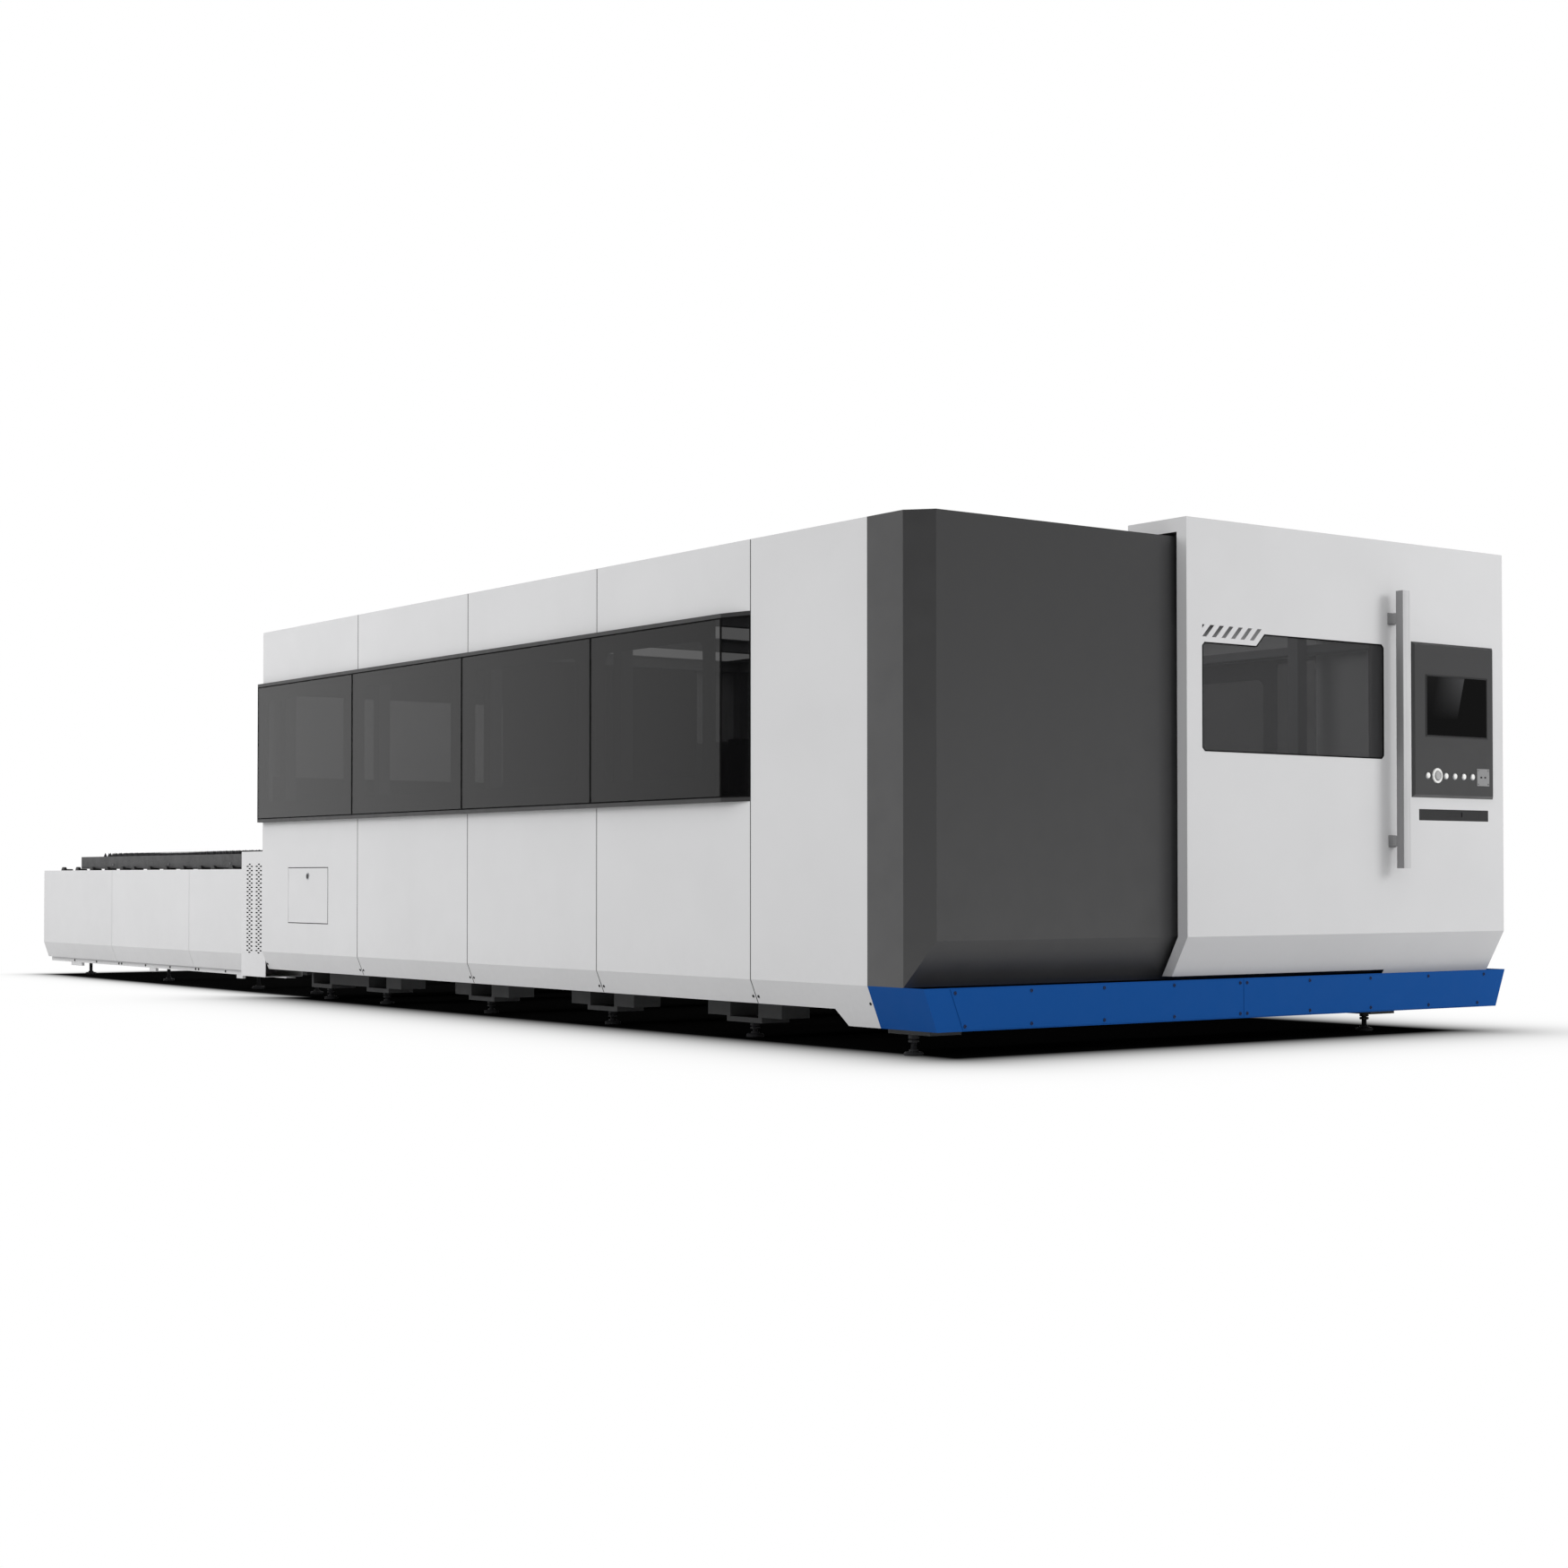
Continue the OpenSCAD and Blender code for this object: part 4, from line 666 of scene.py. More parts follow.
class Repeater:
    """Node trees that set copies of a small piece on points, on a grid or along a line."""

    trees: dict[Spread, bpy.types.NodeTree] = {}
    inputs: tuple[tuple[str, str], ...] = (
        ("Carrier", "Geometry"), ("Piece", "Object"), ("Finish", "Material"), ("Start", "Vector"),
        ("Columns", "Int"), ("Rows", "Int"), ("Column step", "Vector"), ("Row step", "Vector"),
    )

    @classmethod
    def tree(cls, spread: Spread) -> bpy.types.NodeTree:
        """Finds the tree for one way of spreading, or makes it at its first use.

        Args:
            spread: How the copies are spread.

        Returns:
            The node tree, with named inputs.
        """
        if spread in cls.trees:
            return cls.trees[spread]
        tree = bpy.data.node_groups.new(f"copies_on_{spread.value}", "GeometryNodeTree")
        for name, kind in cls.inputs:
            tree.interface.new_socket(name, in_out="INPUT", socket_type=f"NodeSocket{kind}")
        tree.interface.new_socket("Copies", in_out="OUTPUT", socket_type="NodeSocketGeometry")
        nodes = Nodes(tree)
        given = nodes.add("NodeGroupInput").outputs
        points = given["Carrier"]
        if spread is not Spread.POINTS:
            points = cls.line(nodes, given["Start"], given["Columns"], given["Column step"])
        if spread is Spread.GRID:
            rows = cls.line(nodes, ORIGIN, given["Rows"], given["Row step"])
            points = cls.copies(nodes, points, rows)
        model = nodes.add("GeometryNodeObjectInfo", Object=given["Piece"]).outputs["Geometry"]
        real = cls.copies(nodes, points, model)
        done = nodes.add("GeometryNodeSetMaterial", Geometry=real, Material=given["Finish"])
        nodes.add("NodeGroupOutput", Copies=done.outputs[0])
        cls.trees[spread] = tree
        return tree

    @staticmethod
    def line(nodes: Nodes, start: object, count: object, step: object) -> Socket:
        """Returns a line of points from its start, its count and its step."""
        return nodes.add("GeometryNodeMeshLine", Count=count, Offset=step, Start_Location=start).outputs[0]

    @staticmethod
    def copies(nodes: Nodes, points: Socket, model: Socket) -> Socket:
        """Returns real copies of a model on points."""
        copies = nodes.add("GeometryNodeInstanceOnPoints", Points=points, Instance=model).outputs[0]
        return nodes.add("GeometryNodeRealizeInstances", Geometry=copies).outputs[0]

    @classmethod
    def run(
        cls, name: str, model: Shape, finish: Finish, body: str = "machine",
        spread: Spread = Spread.POINTS, **given: object,
    ) -> Piece:
        """Sets copies of a model and keeps them as one plain mesh.

        Args:
            name: Name of the finished piece.
            model: The small piece, around its own origin. It is freed.
            finish: Its finish.
            body: The body that carries the copies.
            spread: How the copies are spread.
            given: Values of the tree's inputs by name, and points for a carrier.

        Returns:
            The finished piece.
        """
        single = Bench.place(f"{name}_model", Bench.mesh(f"{name}_model", model))
        spots = bpy.data.meshes.new(f"{name}_spots")
        spots.from_pydata([tuple(p) for p in given.pop("points", [ORIGIN])], [], [])
        carrier = Bench.place(f"{name}_spots", spots)
        tree = cls.tree(spread)
        modifier = carrier.modifiers.new("copies", "NODES")
        modifier.node_group = tree
        for key, value in {"Piece": single, "Finish": finish.material(), **given}.items():
            modifier[tree.interface.items_tree[key.replace("_", " ")].identifier] = value
        carrier.update_tag()
        graph = bpy.context.evaluated_depsgraph_get()
        copies = bpy.data.meshes.new_from_object(carrier.evaluated_get(graph))
        copies.name = name
        for spare in (carrier, single):
            data = spare.data
            bpy.data.objects.remove(spare)
            bpy.data.meshes.remove(data)
        return Bench.piece(name, copies, finish, body)


@dataclass(frozen=True)
class Fixing:
    """A screw or bolt head that stands on a face, with shares of its radius and height."""

    radius: float
    height: float
    socket: float = 0.5
    crown: float = 0.8
    side: float = 0.45
    floor: float = 0.35
    steps: int = 10

    def model(self, axis: Axis) -> Shape:
        """Makes a domed head with a socket.

        Args:
            axis: The way that the head faces.

        Returns:
            The head, with its seat at the origin.
        """
        r, h, s, floor = self.radius, self.height, self.socket * self.radius, self.floor * self.height
        profile = ((0, 0), (r, 0), (r, h * self.side), (r * self.crown, h), (s, h), (s, floor), (0, floor))
        shape = bmesh.new()
        Bench.lathe(shape, profile, ORIGIN, axis, self.steps)
        return shape


@dataclass(frozen=True)
class Lamp:
    """A soft square lamp, with its power in watts."""

    name: str
    place: Point
    target: Point
    size: float
    power: float

    def hang(self) -> None:
        """Hangs the lamp, out of sight of the camera and of gloss."""
        data = bpy.data.lights.new(self.name, "AREA")
        data.size, data.energy = self.size, self.power
        lamp = Bench.place(self.name, data)
        lamp.location = self.place
        aim = Vector(self.target) - Vector(self.place)
        lamp.rotation_euler = aim.to_track_quat("-Z", "Y").to_euler()
        lamp.visible_camera = lamp.visible_glossy = False


@dataclass
class Studio:
    """Camera at the photograph's viewpoint, pale floor, soft light and white surroundings.

    The camera's focal length and middle are in the photograph's pixels. Each box of the floor's painted
    shadow is a middle, half its sides and its softness. Each soft box is a direction, a range of agreement
    with it and the strengths at the range's ends.
    """

    eye: Point = (12.1284, -7.671, 0.6924)
    yaw: float = 36.096
    pitch: float = 1.103
    focal: float = 2715.40
    middle: Pair = (852.18, 928.62)
    picture: float = 1750.0
    sensor: float = 36.0
    clip_end: float = 200.0
    horizon: float = 0.5
    zenith: float = 1.25
    zenith_from: float = 0.6
    soft_boxes: tuple[tuple[Point, Pair, Pair], ...] = (
        ((-0.95, 0.31, 0.0), (0.3, 0.75), (0.06, 1.5)),
        ((0.81, 0.59, 0.0), (0.75, 0.96), (0.0, 0.3)),
    )
    floor_half: float = 60.0
    floor_cells: int = 8
    # Boxes of the floor's painted shadow: seen rays find the floor near black inside, fading to white
    # beyond.
    footprints: tuple[tuple[Point, Point, float], ...] = (
        ((2.01, -0.055, 0.0), (2.96, 1.475, 1.0), 0.36),
        ((-3.06, 0.025, 0.0), (2.16, 1.425, 1.0), 0.16),
    )
    fall_power: float = 1.3
    bounce: tuple[float, ...] = (0.5, 0.5, 0.5, 1.0)
    # Colour of the painted shadow for seen rays.
    shadow: tuple[float, ...] = (0.004, 0.004, 0.004, 1.0)
    lamps: tuple[Lamp, ...] = (
        Lamp("overhead", (0.0, 0.0, 9.0), (0.0, 0.0, 0.0), 9.0, 60.0),
        Lamp("front_right", (13.0, 7.0, 5.0), (5.0, 0.5, 1.2), 4.0, 435.0),
        Lamp("near_side", (-3.5, -12.0, 6.0), (0.0, -1.7, 1.2), 6.0, 505.0),
    )

    def camera(self) -> None:
        """Sets the camera."""
        yaw, pitch = math.radians(self.yaw), math.radians(self.pitch)
        ahead = Vector((-math.cos(yaw) * math.cos(pitch), math.sin(yaw) * math.cos(pitch), math.sin(pitch)))
        data = bpy.data.cameras.new("photo_camera")
        data.sensor_width, data.sensor_fit = self.sensor, "HORIZONTAL"
        data.lens = self.focal / self.picture * self.sensor
        data.shift_x = (self.picture / 2 - self.middle[0]) / self.picture
        data.shift_y = (self.middle[1] - self.picture / 2) / self.picture
        data.clip_end = self.clip_end
        camera = Bench.place("photo_camera", data)
        camera.location = self.eye
        camera.rotation_euler = ahead.to_track_quat("-Z", "Y").to_euler()
        bpy.context.scene.camera = camera

    def floor(self) -> None:
        """Lays a floor that glows white where it is looked at, straight, by gloss or through glass.

        For those rays it is painted near black under the machine, a painted shadow that fades out beyond its
        boxes.
        All other rays get a grey bounce.
        """
        shape, cells = bmesh.new(), self.floor_cells
        bmesh.ops.create_grid(shape, x_segments=cells, y_segments=cells, size=self.floor_half)
        mesh = Bench.mesh("studio_floor", shape, outward=False)
        material = bpy.data.materials.new("studio_floor")
        material.use_nodes = True
        nodes = Nodes(material.node_tree)
        # Painted shadow: distance beyond its boxes, turned into the white glow that replaces it.
        near = nodes.reckon("MINIMUM", *(self.beyond(nodes, *box) for box in self.footprints))
        fall = nodes.reckon("MULTIPLY", nodes.reckon("POWER", near, self.fall_power), -1.0)
        rays = nodes.add("ShaderNodeLightPath").outputs
        mirrored = nodes.reckon("MAXIMUM", rays["Is Glossy Ray"], rays["Is Transmission Ray"])
        seen = nodes.reckon("MAXIMUM", rays["Is Camera Ray"], mirrored)
        away = nodes.reckon("SUBTRACT", 1.0, nodes.reckon("EXPONENT", fall))
        white = nodes.reckon("MULTIPLY", away, seen)
        nodes.fill(
            material.node_tree.nodes["Principled BSDF"],
            Base_Color=nodes.mix(white, nodes.mix(seen, self.bounce, self.shadow), BLACK),
            Roughness=1.0,
            Specular_IOR_Level=0.0,
            Emission_Color=WHITE,
            Emission_Strength=white,
        )
        mesh.materials.append(material)
        floor = Bench.place("studio_floor", mesh)

    def beyond(self, nodes: Nodes, middle: Point, half: Point, soft: float) -> Socket:
        """Reckons how far a place on the floor lies outside a box.

        Args:
            nodes: The floor's tree.
            middle: Middle of the box.
            half: Half its sides.
            soft: The distance that counts as one.

        Returns:
            The distance.
        """
        offset = nodes.vector("ABSOLUTE", nodes.vector("SUBTRACT", nodes.place(), middle))
        outside = nodes.vector("MAXIMUM", nodes.vector("SUBTRACT", offset, half), ORIGIN)
        return nodes.reckon("DIVIDE", nodes.vector("LENGTH", outside, result="Value"), soft)

    def surroundings(self) -> None:
        """Makes the world: even light, white where it is seen, with two soft boxes in gloss."""
        world = bpy.data.worlds.new("studio")
        bpy.context.scene.world = world
        world.use_nodes = True
        nodes = Nodes(world.node_tree)
        rays = nodes.add("ShaderNodeLightPath").outputs
        way = nodes.add("ShaderNodeTexCoord").outputs["Generated"]
        glows = []
        for toward, given, wanted in self.soft_boxes:
            agreement = nodes.vector("DOT_PRODUCT", way, toward, result="Value")
            glows.append(nodes.ramp(agreement, given, wanted))
        ambient = nodes.ramp(nodes.part(way, "Z"), (0.0, self.zenith_from), (self.horizon, self.zenith))
        lit = nodes.mix(rays["Is Glossy Ray"], ambient, nodes.reckon("ADD", *glows))
        seen = nodes.reckon("MAXIMUM", rays["Is Camera Ray"], rays["Is Transmission Ray"])
        backdrop = world.node_tree.nodes["Background"]
        nodes.fill(backdrop, Color=WHITE, Strength=nodes.mix(seen, lit, 1.0))

    def build(self) -> None:
        """Sets camera, floor, surroundings and lamps."""
        self.camera()
        self.floor()
        self.surroundings()
        for lamp in self.lamps:
            lamp.hang()
        bpy.context.scene.view_settings.view_transform = "Standard"


@dataclass
class Assembly:
    """A sub-assembly: finishes of its carried-over nodes, and the pieces made for it."""

    coats: Coats = ()

    def make(self) -> None:
        """Makes the pieces."""
        raise NotImplementedError

    def build(self) -> None:
        """Dresses the carried-over nodes and makes the pieces."""
        for finish, names in self.coats:
            Bench.dress(names, finish)
        self.make()


@dataclass
class Enclosure(Assembly):
    """Walls, roof, posts, rear wall, pillars and hatch."""

    coats: Coats = (
        (WHITE_COAT, both("lower_panels", "upper_panels", "end_panel")),
        (WHITE_COAT, ("roof_panels", "rear_wall", "vent_pillars", "hatch_door")),
        (GREY_COAT, (*both("frame"), "roof_beams")),
        (BLACK_PLASTIC, ("hatch_lock",)),
    )
    seams: tuple[float, ...] = (3.915, 2.715, 1.515, 0.315)
    half_width: float = 1.75
    fold_z: float = 0.275
    slope: float = 41 / 101
    ends: Pair = (-0.885, 4.694)
    screw: Fixing = Fixing(0.0065, 0.003)
    screw_z: float = 0.204
    seam_gap: float = 0.0185
    end_gaps: Pair = (0.0126, 0.015)
    roof_z: float = 2.11
    roof_gap: float = 0.03
    roof_row: Row = (-1.65, 0.3, 12)
    rear_row: Row = (0.95, 0.14, 8)
    rear_y: float = 1.70
    seam_w: float = 0.0045
    seam_t: float = 0.001
    seam_lift: float = 0.0004
    seam_z: Pair = (0.1755, 2.108)
    window_z: Pair = (1.014, 1.813)
    hatch: tuple[Pair, Pair] = ((-0.544, 0.448), (-0.043, 0.753))
    # Width and lift of the dark strip that paints shade in the hatch's gap.
    gap_w: float = 0.004
    gap_lift: Pair = (0.0006, 0.0001)
    backing_depth: Pair = (0.0045, 0.006)
    # Depth and edges of the near-black plate that paints shade behind the pillars' slots.
    backing_edges: Point = (0.02, 0.1, 0.03)
    port_z: float = 0.96
    lining_end: float = 1.28
    lining_edge: float = 0.06
    lining_lift: Pair = (0.0003, 0.002)
    pale_end: float = -0.167
    pale_z: Pair = (1.28, 1.756)
    lock_z: float = 0.707
    lock_rim: Profile = (
        (0.0145, 0.0), (0.0205, 0.0), (0.0195, 0.002), (0.0155, 0.002), (0.0145, 0.0)
    )
    lock_steps: int = 32

    def skin(self, z: float) -> float:
        """Returns the distance of the wall's face from the middle at a height."""
        return self.half_width - max(0.0, self.fold_z - z) * self.slope

    def beside_seams(self, gap: float) -> list[float]:
        """Returns the places a gap before and behind every seam."""
        return [seam + dx for seam in self.seams for dx in (-gap, gap)]

    def foot_screws(self) -> None:
        """Sets a screw on each side of every seam on the folded foot of both walls."""
        (rear, front), (rear_gap, front_gap) = self.ends, self.end_gaps
        xs = [*self.beside_seams(self.seam_gap), rear + rear_gap, front - front_gap]
        for side, axis in ((Side.NEAR, Axis.NEAR_FOOT), (Side.FAR, Axis.FAR_FOOT)):
            spots = [(x, side.value * self.skin(self.screw_z), self.screw_z) for x in xs]
            Repeater.run(f"{side.label}_foot_screws", self.screw.model(axis), BLACK_FIXING, points=spots)

    def flat_screws(self) -> None:
        """Sets rows of screws along the roof's seams and down both edges of the rear wall."""
        xs, ys = self.beside_seams(self.roof_gap), row_places(self.roof_row)
        spots = [(x, y, self.roof_z) for x in xs for y in ys]
        Repeater.run("roof_screws", self.screw.model(Axis.PLUS_Z), ZINC, points=spots)
        zs = row_places(self.rear_row)
        spots = [(self.ends[0], y, z) for y in (-self.rear_y, self.rear_y) for z in zs]
        Repeater.run("rear_wall_screws", self.screw.model(Axis.MINUS_X), ZINC, points=spots)

    def seam_strips(self, side: Side) -> None:
        """Lays dark strips along the seams between the wall panels of one side.

        Args:
            side: The side of the machine.
        """
        shape, half, thick = bmesh.new(), self.seam_w / 2, self.seam_t
        corners = ((-half, thick), (half, thick), (half, 0.0), (-half, 0.0))
        foot, top = self.seam_z
        for seam in self.seams:
            runs = [(foot, self.fold_z, top)]
            if seam != self.seams[0]:
                runs = [(foot, self.fold_z, self.window_z[0]), (self.window_z[1], top)]
            for run in runs:
                rings = []
                for z in run:
                    y = self.skin(z) + self.seam_lift
                    spots = [(seam + dx, side.value * (y - dy), z) for dx, dy in corners]
                    rings.append([shape.verts.new(spot) for spot in spots])
                Bench.join(shape, rings)
        Bench.piece(f"{side.label}_seam_strips", shape, SEALANT_AND_GAP_SHADE)

    def hatch_gap(self) -> None:
        """Lays a dark strip as painted shade in the gap along the hatch's top, bottom and free side."""
        (x0, z0), (x1, z1) = self.hatch
        w = self.gap_w
        front, back = (-self.half_width - lift for lift in self.gap_lift)
        top, bottom = (x0, z1, x1 + w, z1 + w), (x0, z0 - w, x1 + w, z0)
        shape = bmesh.new()
        for left, low, right, high in (top, bottom, (x1, z0, x1 + w, z1)):
            Bench.slab(shape, (left, front, low), (right, back, high))
        Bench.piece("hatch_gap_line", shape, SEALANT_AND_GAP_SHADE)

    def vent_backing(self) -> None:
        """Hangs a near-black plate behind the slots of both pillars, as painted shade inside them."""
        low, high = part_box("vent_pillars")
        rim, foot, head = self.backing_edges
        shape = bmesh.new()
        for side in Side:
            y0, y1 = side.across(*(high[1] - depth for depth in self.backing_depth))
            Bench.slab(shape, (low[0] + rim, y0, low[2] + foot), (high[0] - rim, y1, high[2] - head))
        Bench.piece("vent_backing", shape, RUBBER_AND_SLOT_SHADE)

    def rear_lining(self) -> None:
        """Lines the inside of the rear wall with dark sheet, left open over a pale field."""
        low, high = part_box("rear_wall")
        back, front = (high[0] + lift for lift in self.lining_lift)
        start, end, (z0, z1) = low[1] + self.lining_edge, self.lining_end, self.pale_z
        fields = ((start, self.port_z, end, z0), (start, z1, end, high[2] - self.lining_edge))
        shape = bmesh.new()
        for left, bottom, right, top in (*fields, (self.pale_end, z0, end, z1)):
            Bench.slab(shape, (back, left, bottom), (front, right, top))
        Bench.piece("rear_wall_lining", shape, DARK_LINING)

    def lock_ring(self) -> None:
        """Adds the pale ring around the hatch lock."""
        low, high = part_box("hatch_lock")
        middle = ((low[0] + high[0]) / 2, -self.half_width, self.lock_z)
        shape = bmesh.new()
        Bench.lathe(shape, self.lock_rim, middle, Axis.MINUS_Y, self.lock_steps)
        Bench.piece("hatch_lock_ring", shape, GROUND_STEEL, "hatch")

    def make(self) -> None:
        """Makes the enclosure's screws, strips, painted shade of the gap and slots, lining and lock ring."""
        self.foot_screws()
        self.flat_screws()
        for side in Side:
            self.seam_strips(side)
        self.hatch_gap()
        self.vent_backing()
        self.rear_lining()
        self.lock_ring()


@dataclass
class RibbonWindows(Assembly):
    """Bands of smoked panes along both sides, with their rails, seals and inner frames."""

    coats: Coats = (
        (BLACK_PLASTIC, both("window_rails")),
        (RIBBON_GLASS, both("window_panes")),
        (DARK_COAT, both("window_frames")),
    )
    seams: tuple[float, ...] = (-0.880, 0.315, 1.515, 2.715, 3.749)
    facet: Pair = (3.915, 1.75)
    face: float = 1.785
    low: float = 1.034
    high: float = 1.793
    seal_w: float = 0.006
    seal_lift: Pair = (0.0002, 0.0012)

    def seals(self, side: Side) -> None:
        """Lays a rubber seal around every pane of one side.

        Args:
            side: The side of the machine.
        """
        shape = bmesh.new()
        corners = [(x, self.face) for x in self.seams] + [self.facet]
        for start, end in zip(corners, corners[1:]):
            along = Vector((end[0] - start[0], end[1] - start[1], 0.0))
            length = along.length
            along.normalize()
            out = Vector((-along.y, along.x, 0.0))
            foot = Vector((*start, 0.0))

            def lift(u: float, v: float, d: float) -> Point:
                """Returns the point at a place along the pane, a height and a depth."""
                spot = foot + along * u + out * d
                return (spot.x, side.value * spot.y, v)

            w = self.seal_w
            low, high, right = self.low + w, self.high - w, length - w
            loop = ((w, low), (right, low), (right, high), (w, high))
            Bench.band(shape, loop, w, self.seal_lift, lift)
        Bench.piece(f"{side.label}_window_seals", shape, RUBBER_AND_SLOT_SHADE)

    def make(self) -> None:
        """Makes the seals of both sides."""
        for side in Side:
            self.seals(side)


@dataclass
class FrontEnd(Assembly):
    """Cowl around the doorway, skirt with its covers, and the door's tracks."""

    coats: Coats = (
        (DARK_COAT, ("front_cowl",)),
        (BLUE_COAT, ("front_skirt", "skirt_covers")),
        (GROUND_STEEL, ("roof_track", "trough_track")),
    )
    skirt_x: float = 5.037
    rows: Pair = (0.2555, 0.1265)
    columns: tuple[float, ...] = (0.021, 0.412, 0.808, 1.201)
    corners: Pair = (1.594, 1.545)
    screw: Fixing = Fixing(0.0075, 0.003)

    def make(self) -> None:
        """Sets the screws along the skirt's two cover plates."""
        spots = []
        for z, corner in zip(self.rows, self.corners):
            for y in (*self.columns, corner):
                spots += [(self.skirt_x, y, z), (self.skirt_x, -y, z)]
        Repeater.run("skirt_cover_screws", self.screw.model(Axis.PLUS_X), BLUE_FIXING, points=spots)


@dataclass
class SlidingDoor(Assembly):
    """Folded door with its stepped window, handle and hangers."""

    coats: Coats = (
        (WHITE_COAT, ("door_shell",)),
        (DOOR_GLASS, ("door_window",)),
        # The carried-over handle gets the darker satin copy, painted shade.
        (SHADED_SATIN_BAR, ("door_handle",)),
        (BLACK_STEEL, ("door_hangers",)),
    )
    face: float = 5.087
    window_y: Pair = (-0.295, 0.845)
    window_z: Pair = (1.220, 1.725)
    step: Point = (0.030, 0.080, 1.673)
    corner: float = 0.015
    seal_w: float = 0.005
    seal_lift: Pair = (-0.003, 0.0008)
    bar_x: float = 5.131
    bar_edge: float = 0.001
    standoffs: Pair = (0.836, 1.818)
    standoff_h: float = 0.045
    standoff_edge: float = 0.003
    standoff_lap: float = 0.004
    foot_rim: float = 0.004
    foot_t: float = 0.004
    foot_edge: float = 0.0015
    face_t: float = 0.003
    face_edge: float = 0.0012
    face_lap: float = 0.0005

    def window_seal(self) -> None:
        """Lays a rubber seal inside the edge of the window's opening."""
        (y0, y1), (z0, z1), c = self.window_y, self.window_z, self.corner
        low_y, high_y, step_z = self.step
        loop = [(y0 + c, z0), (y1 - c, z0), (y1, z0 + c), (y1, z1 - c), (y1 - c, z1), (high_y, z1)]
        loop += [(low_y, step_z), (y0 + c, step_z), (y0, step_z - c), (y0, z0 + c)]
        depth = tuple(self.face + lift for lift in self.seal_lift)
        shape = bmesh.new()
        Bench.band(shape, loop, -self.seal_w, depth, Bench.across_x)
        Bench.piece("door_window_seal", shape, RUBBER_AND_SLOT_SHADE, "door")

    def handle(self) -> None:
        """Makes the rounded bar, standoffs and foot plates in painted shade, and a face in painted light."""
        low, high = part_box("door_handle")
        front, rim = high[0] - self.face_t, self.foot_rim
        shape = bmesh.new()
        Bench.slab(shape, (self.bar_x, low[1], low[2]), (front, high[1], high[2]), self.bar_edge)
        for z in self.standoffs:
            top = z + self.standoff_h
            end = (self.bar_x + self.standoff_lap, high[1], top)
            Bench.slab(shape, (low[0], low[1], z), end, self.standoff_edge)
            end = (low[0] + self.foot_t, high[1] + rim, top + rim)
            Bench.slab(shape, (low[0], low[1] - rim, z - rim), end, self.foot_edge)
        # The darker satin copy paints shade on the bar's sides.
        piece = Bench.piece("rounded_door_handle", shape, SHADED_SATIN_BAR, "door")
        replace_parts(piece, "door_handle")
        # A thin plate in the lighter satin copy paints light on the handle's front.
        plate = bmesh.new()
        Bench.slab(plate, (front - self.face_lap, low[1], low[2]), tuple(high), self.face_edge)
        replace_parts(Bench.piece("door_handle_face", plate, LIT_SATIN_FACE, "door"), "door_handle")

    def make(self) -> None:
        """Makes the window's seal and the handle."""
        self.window_seal()
        self.handle()


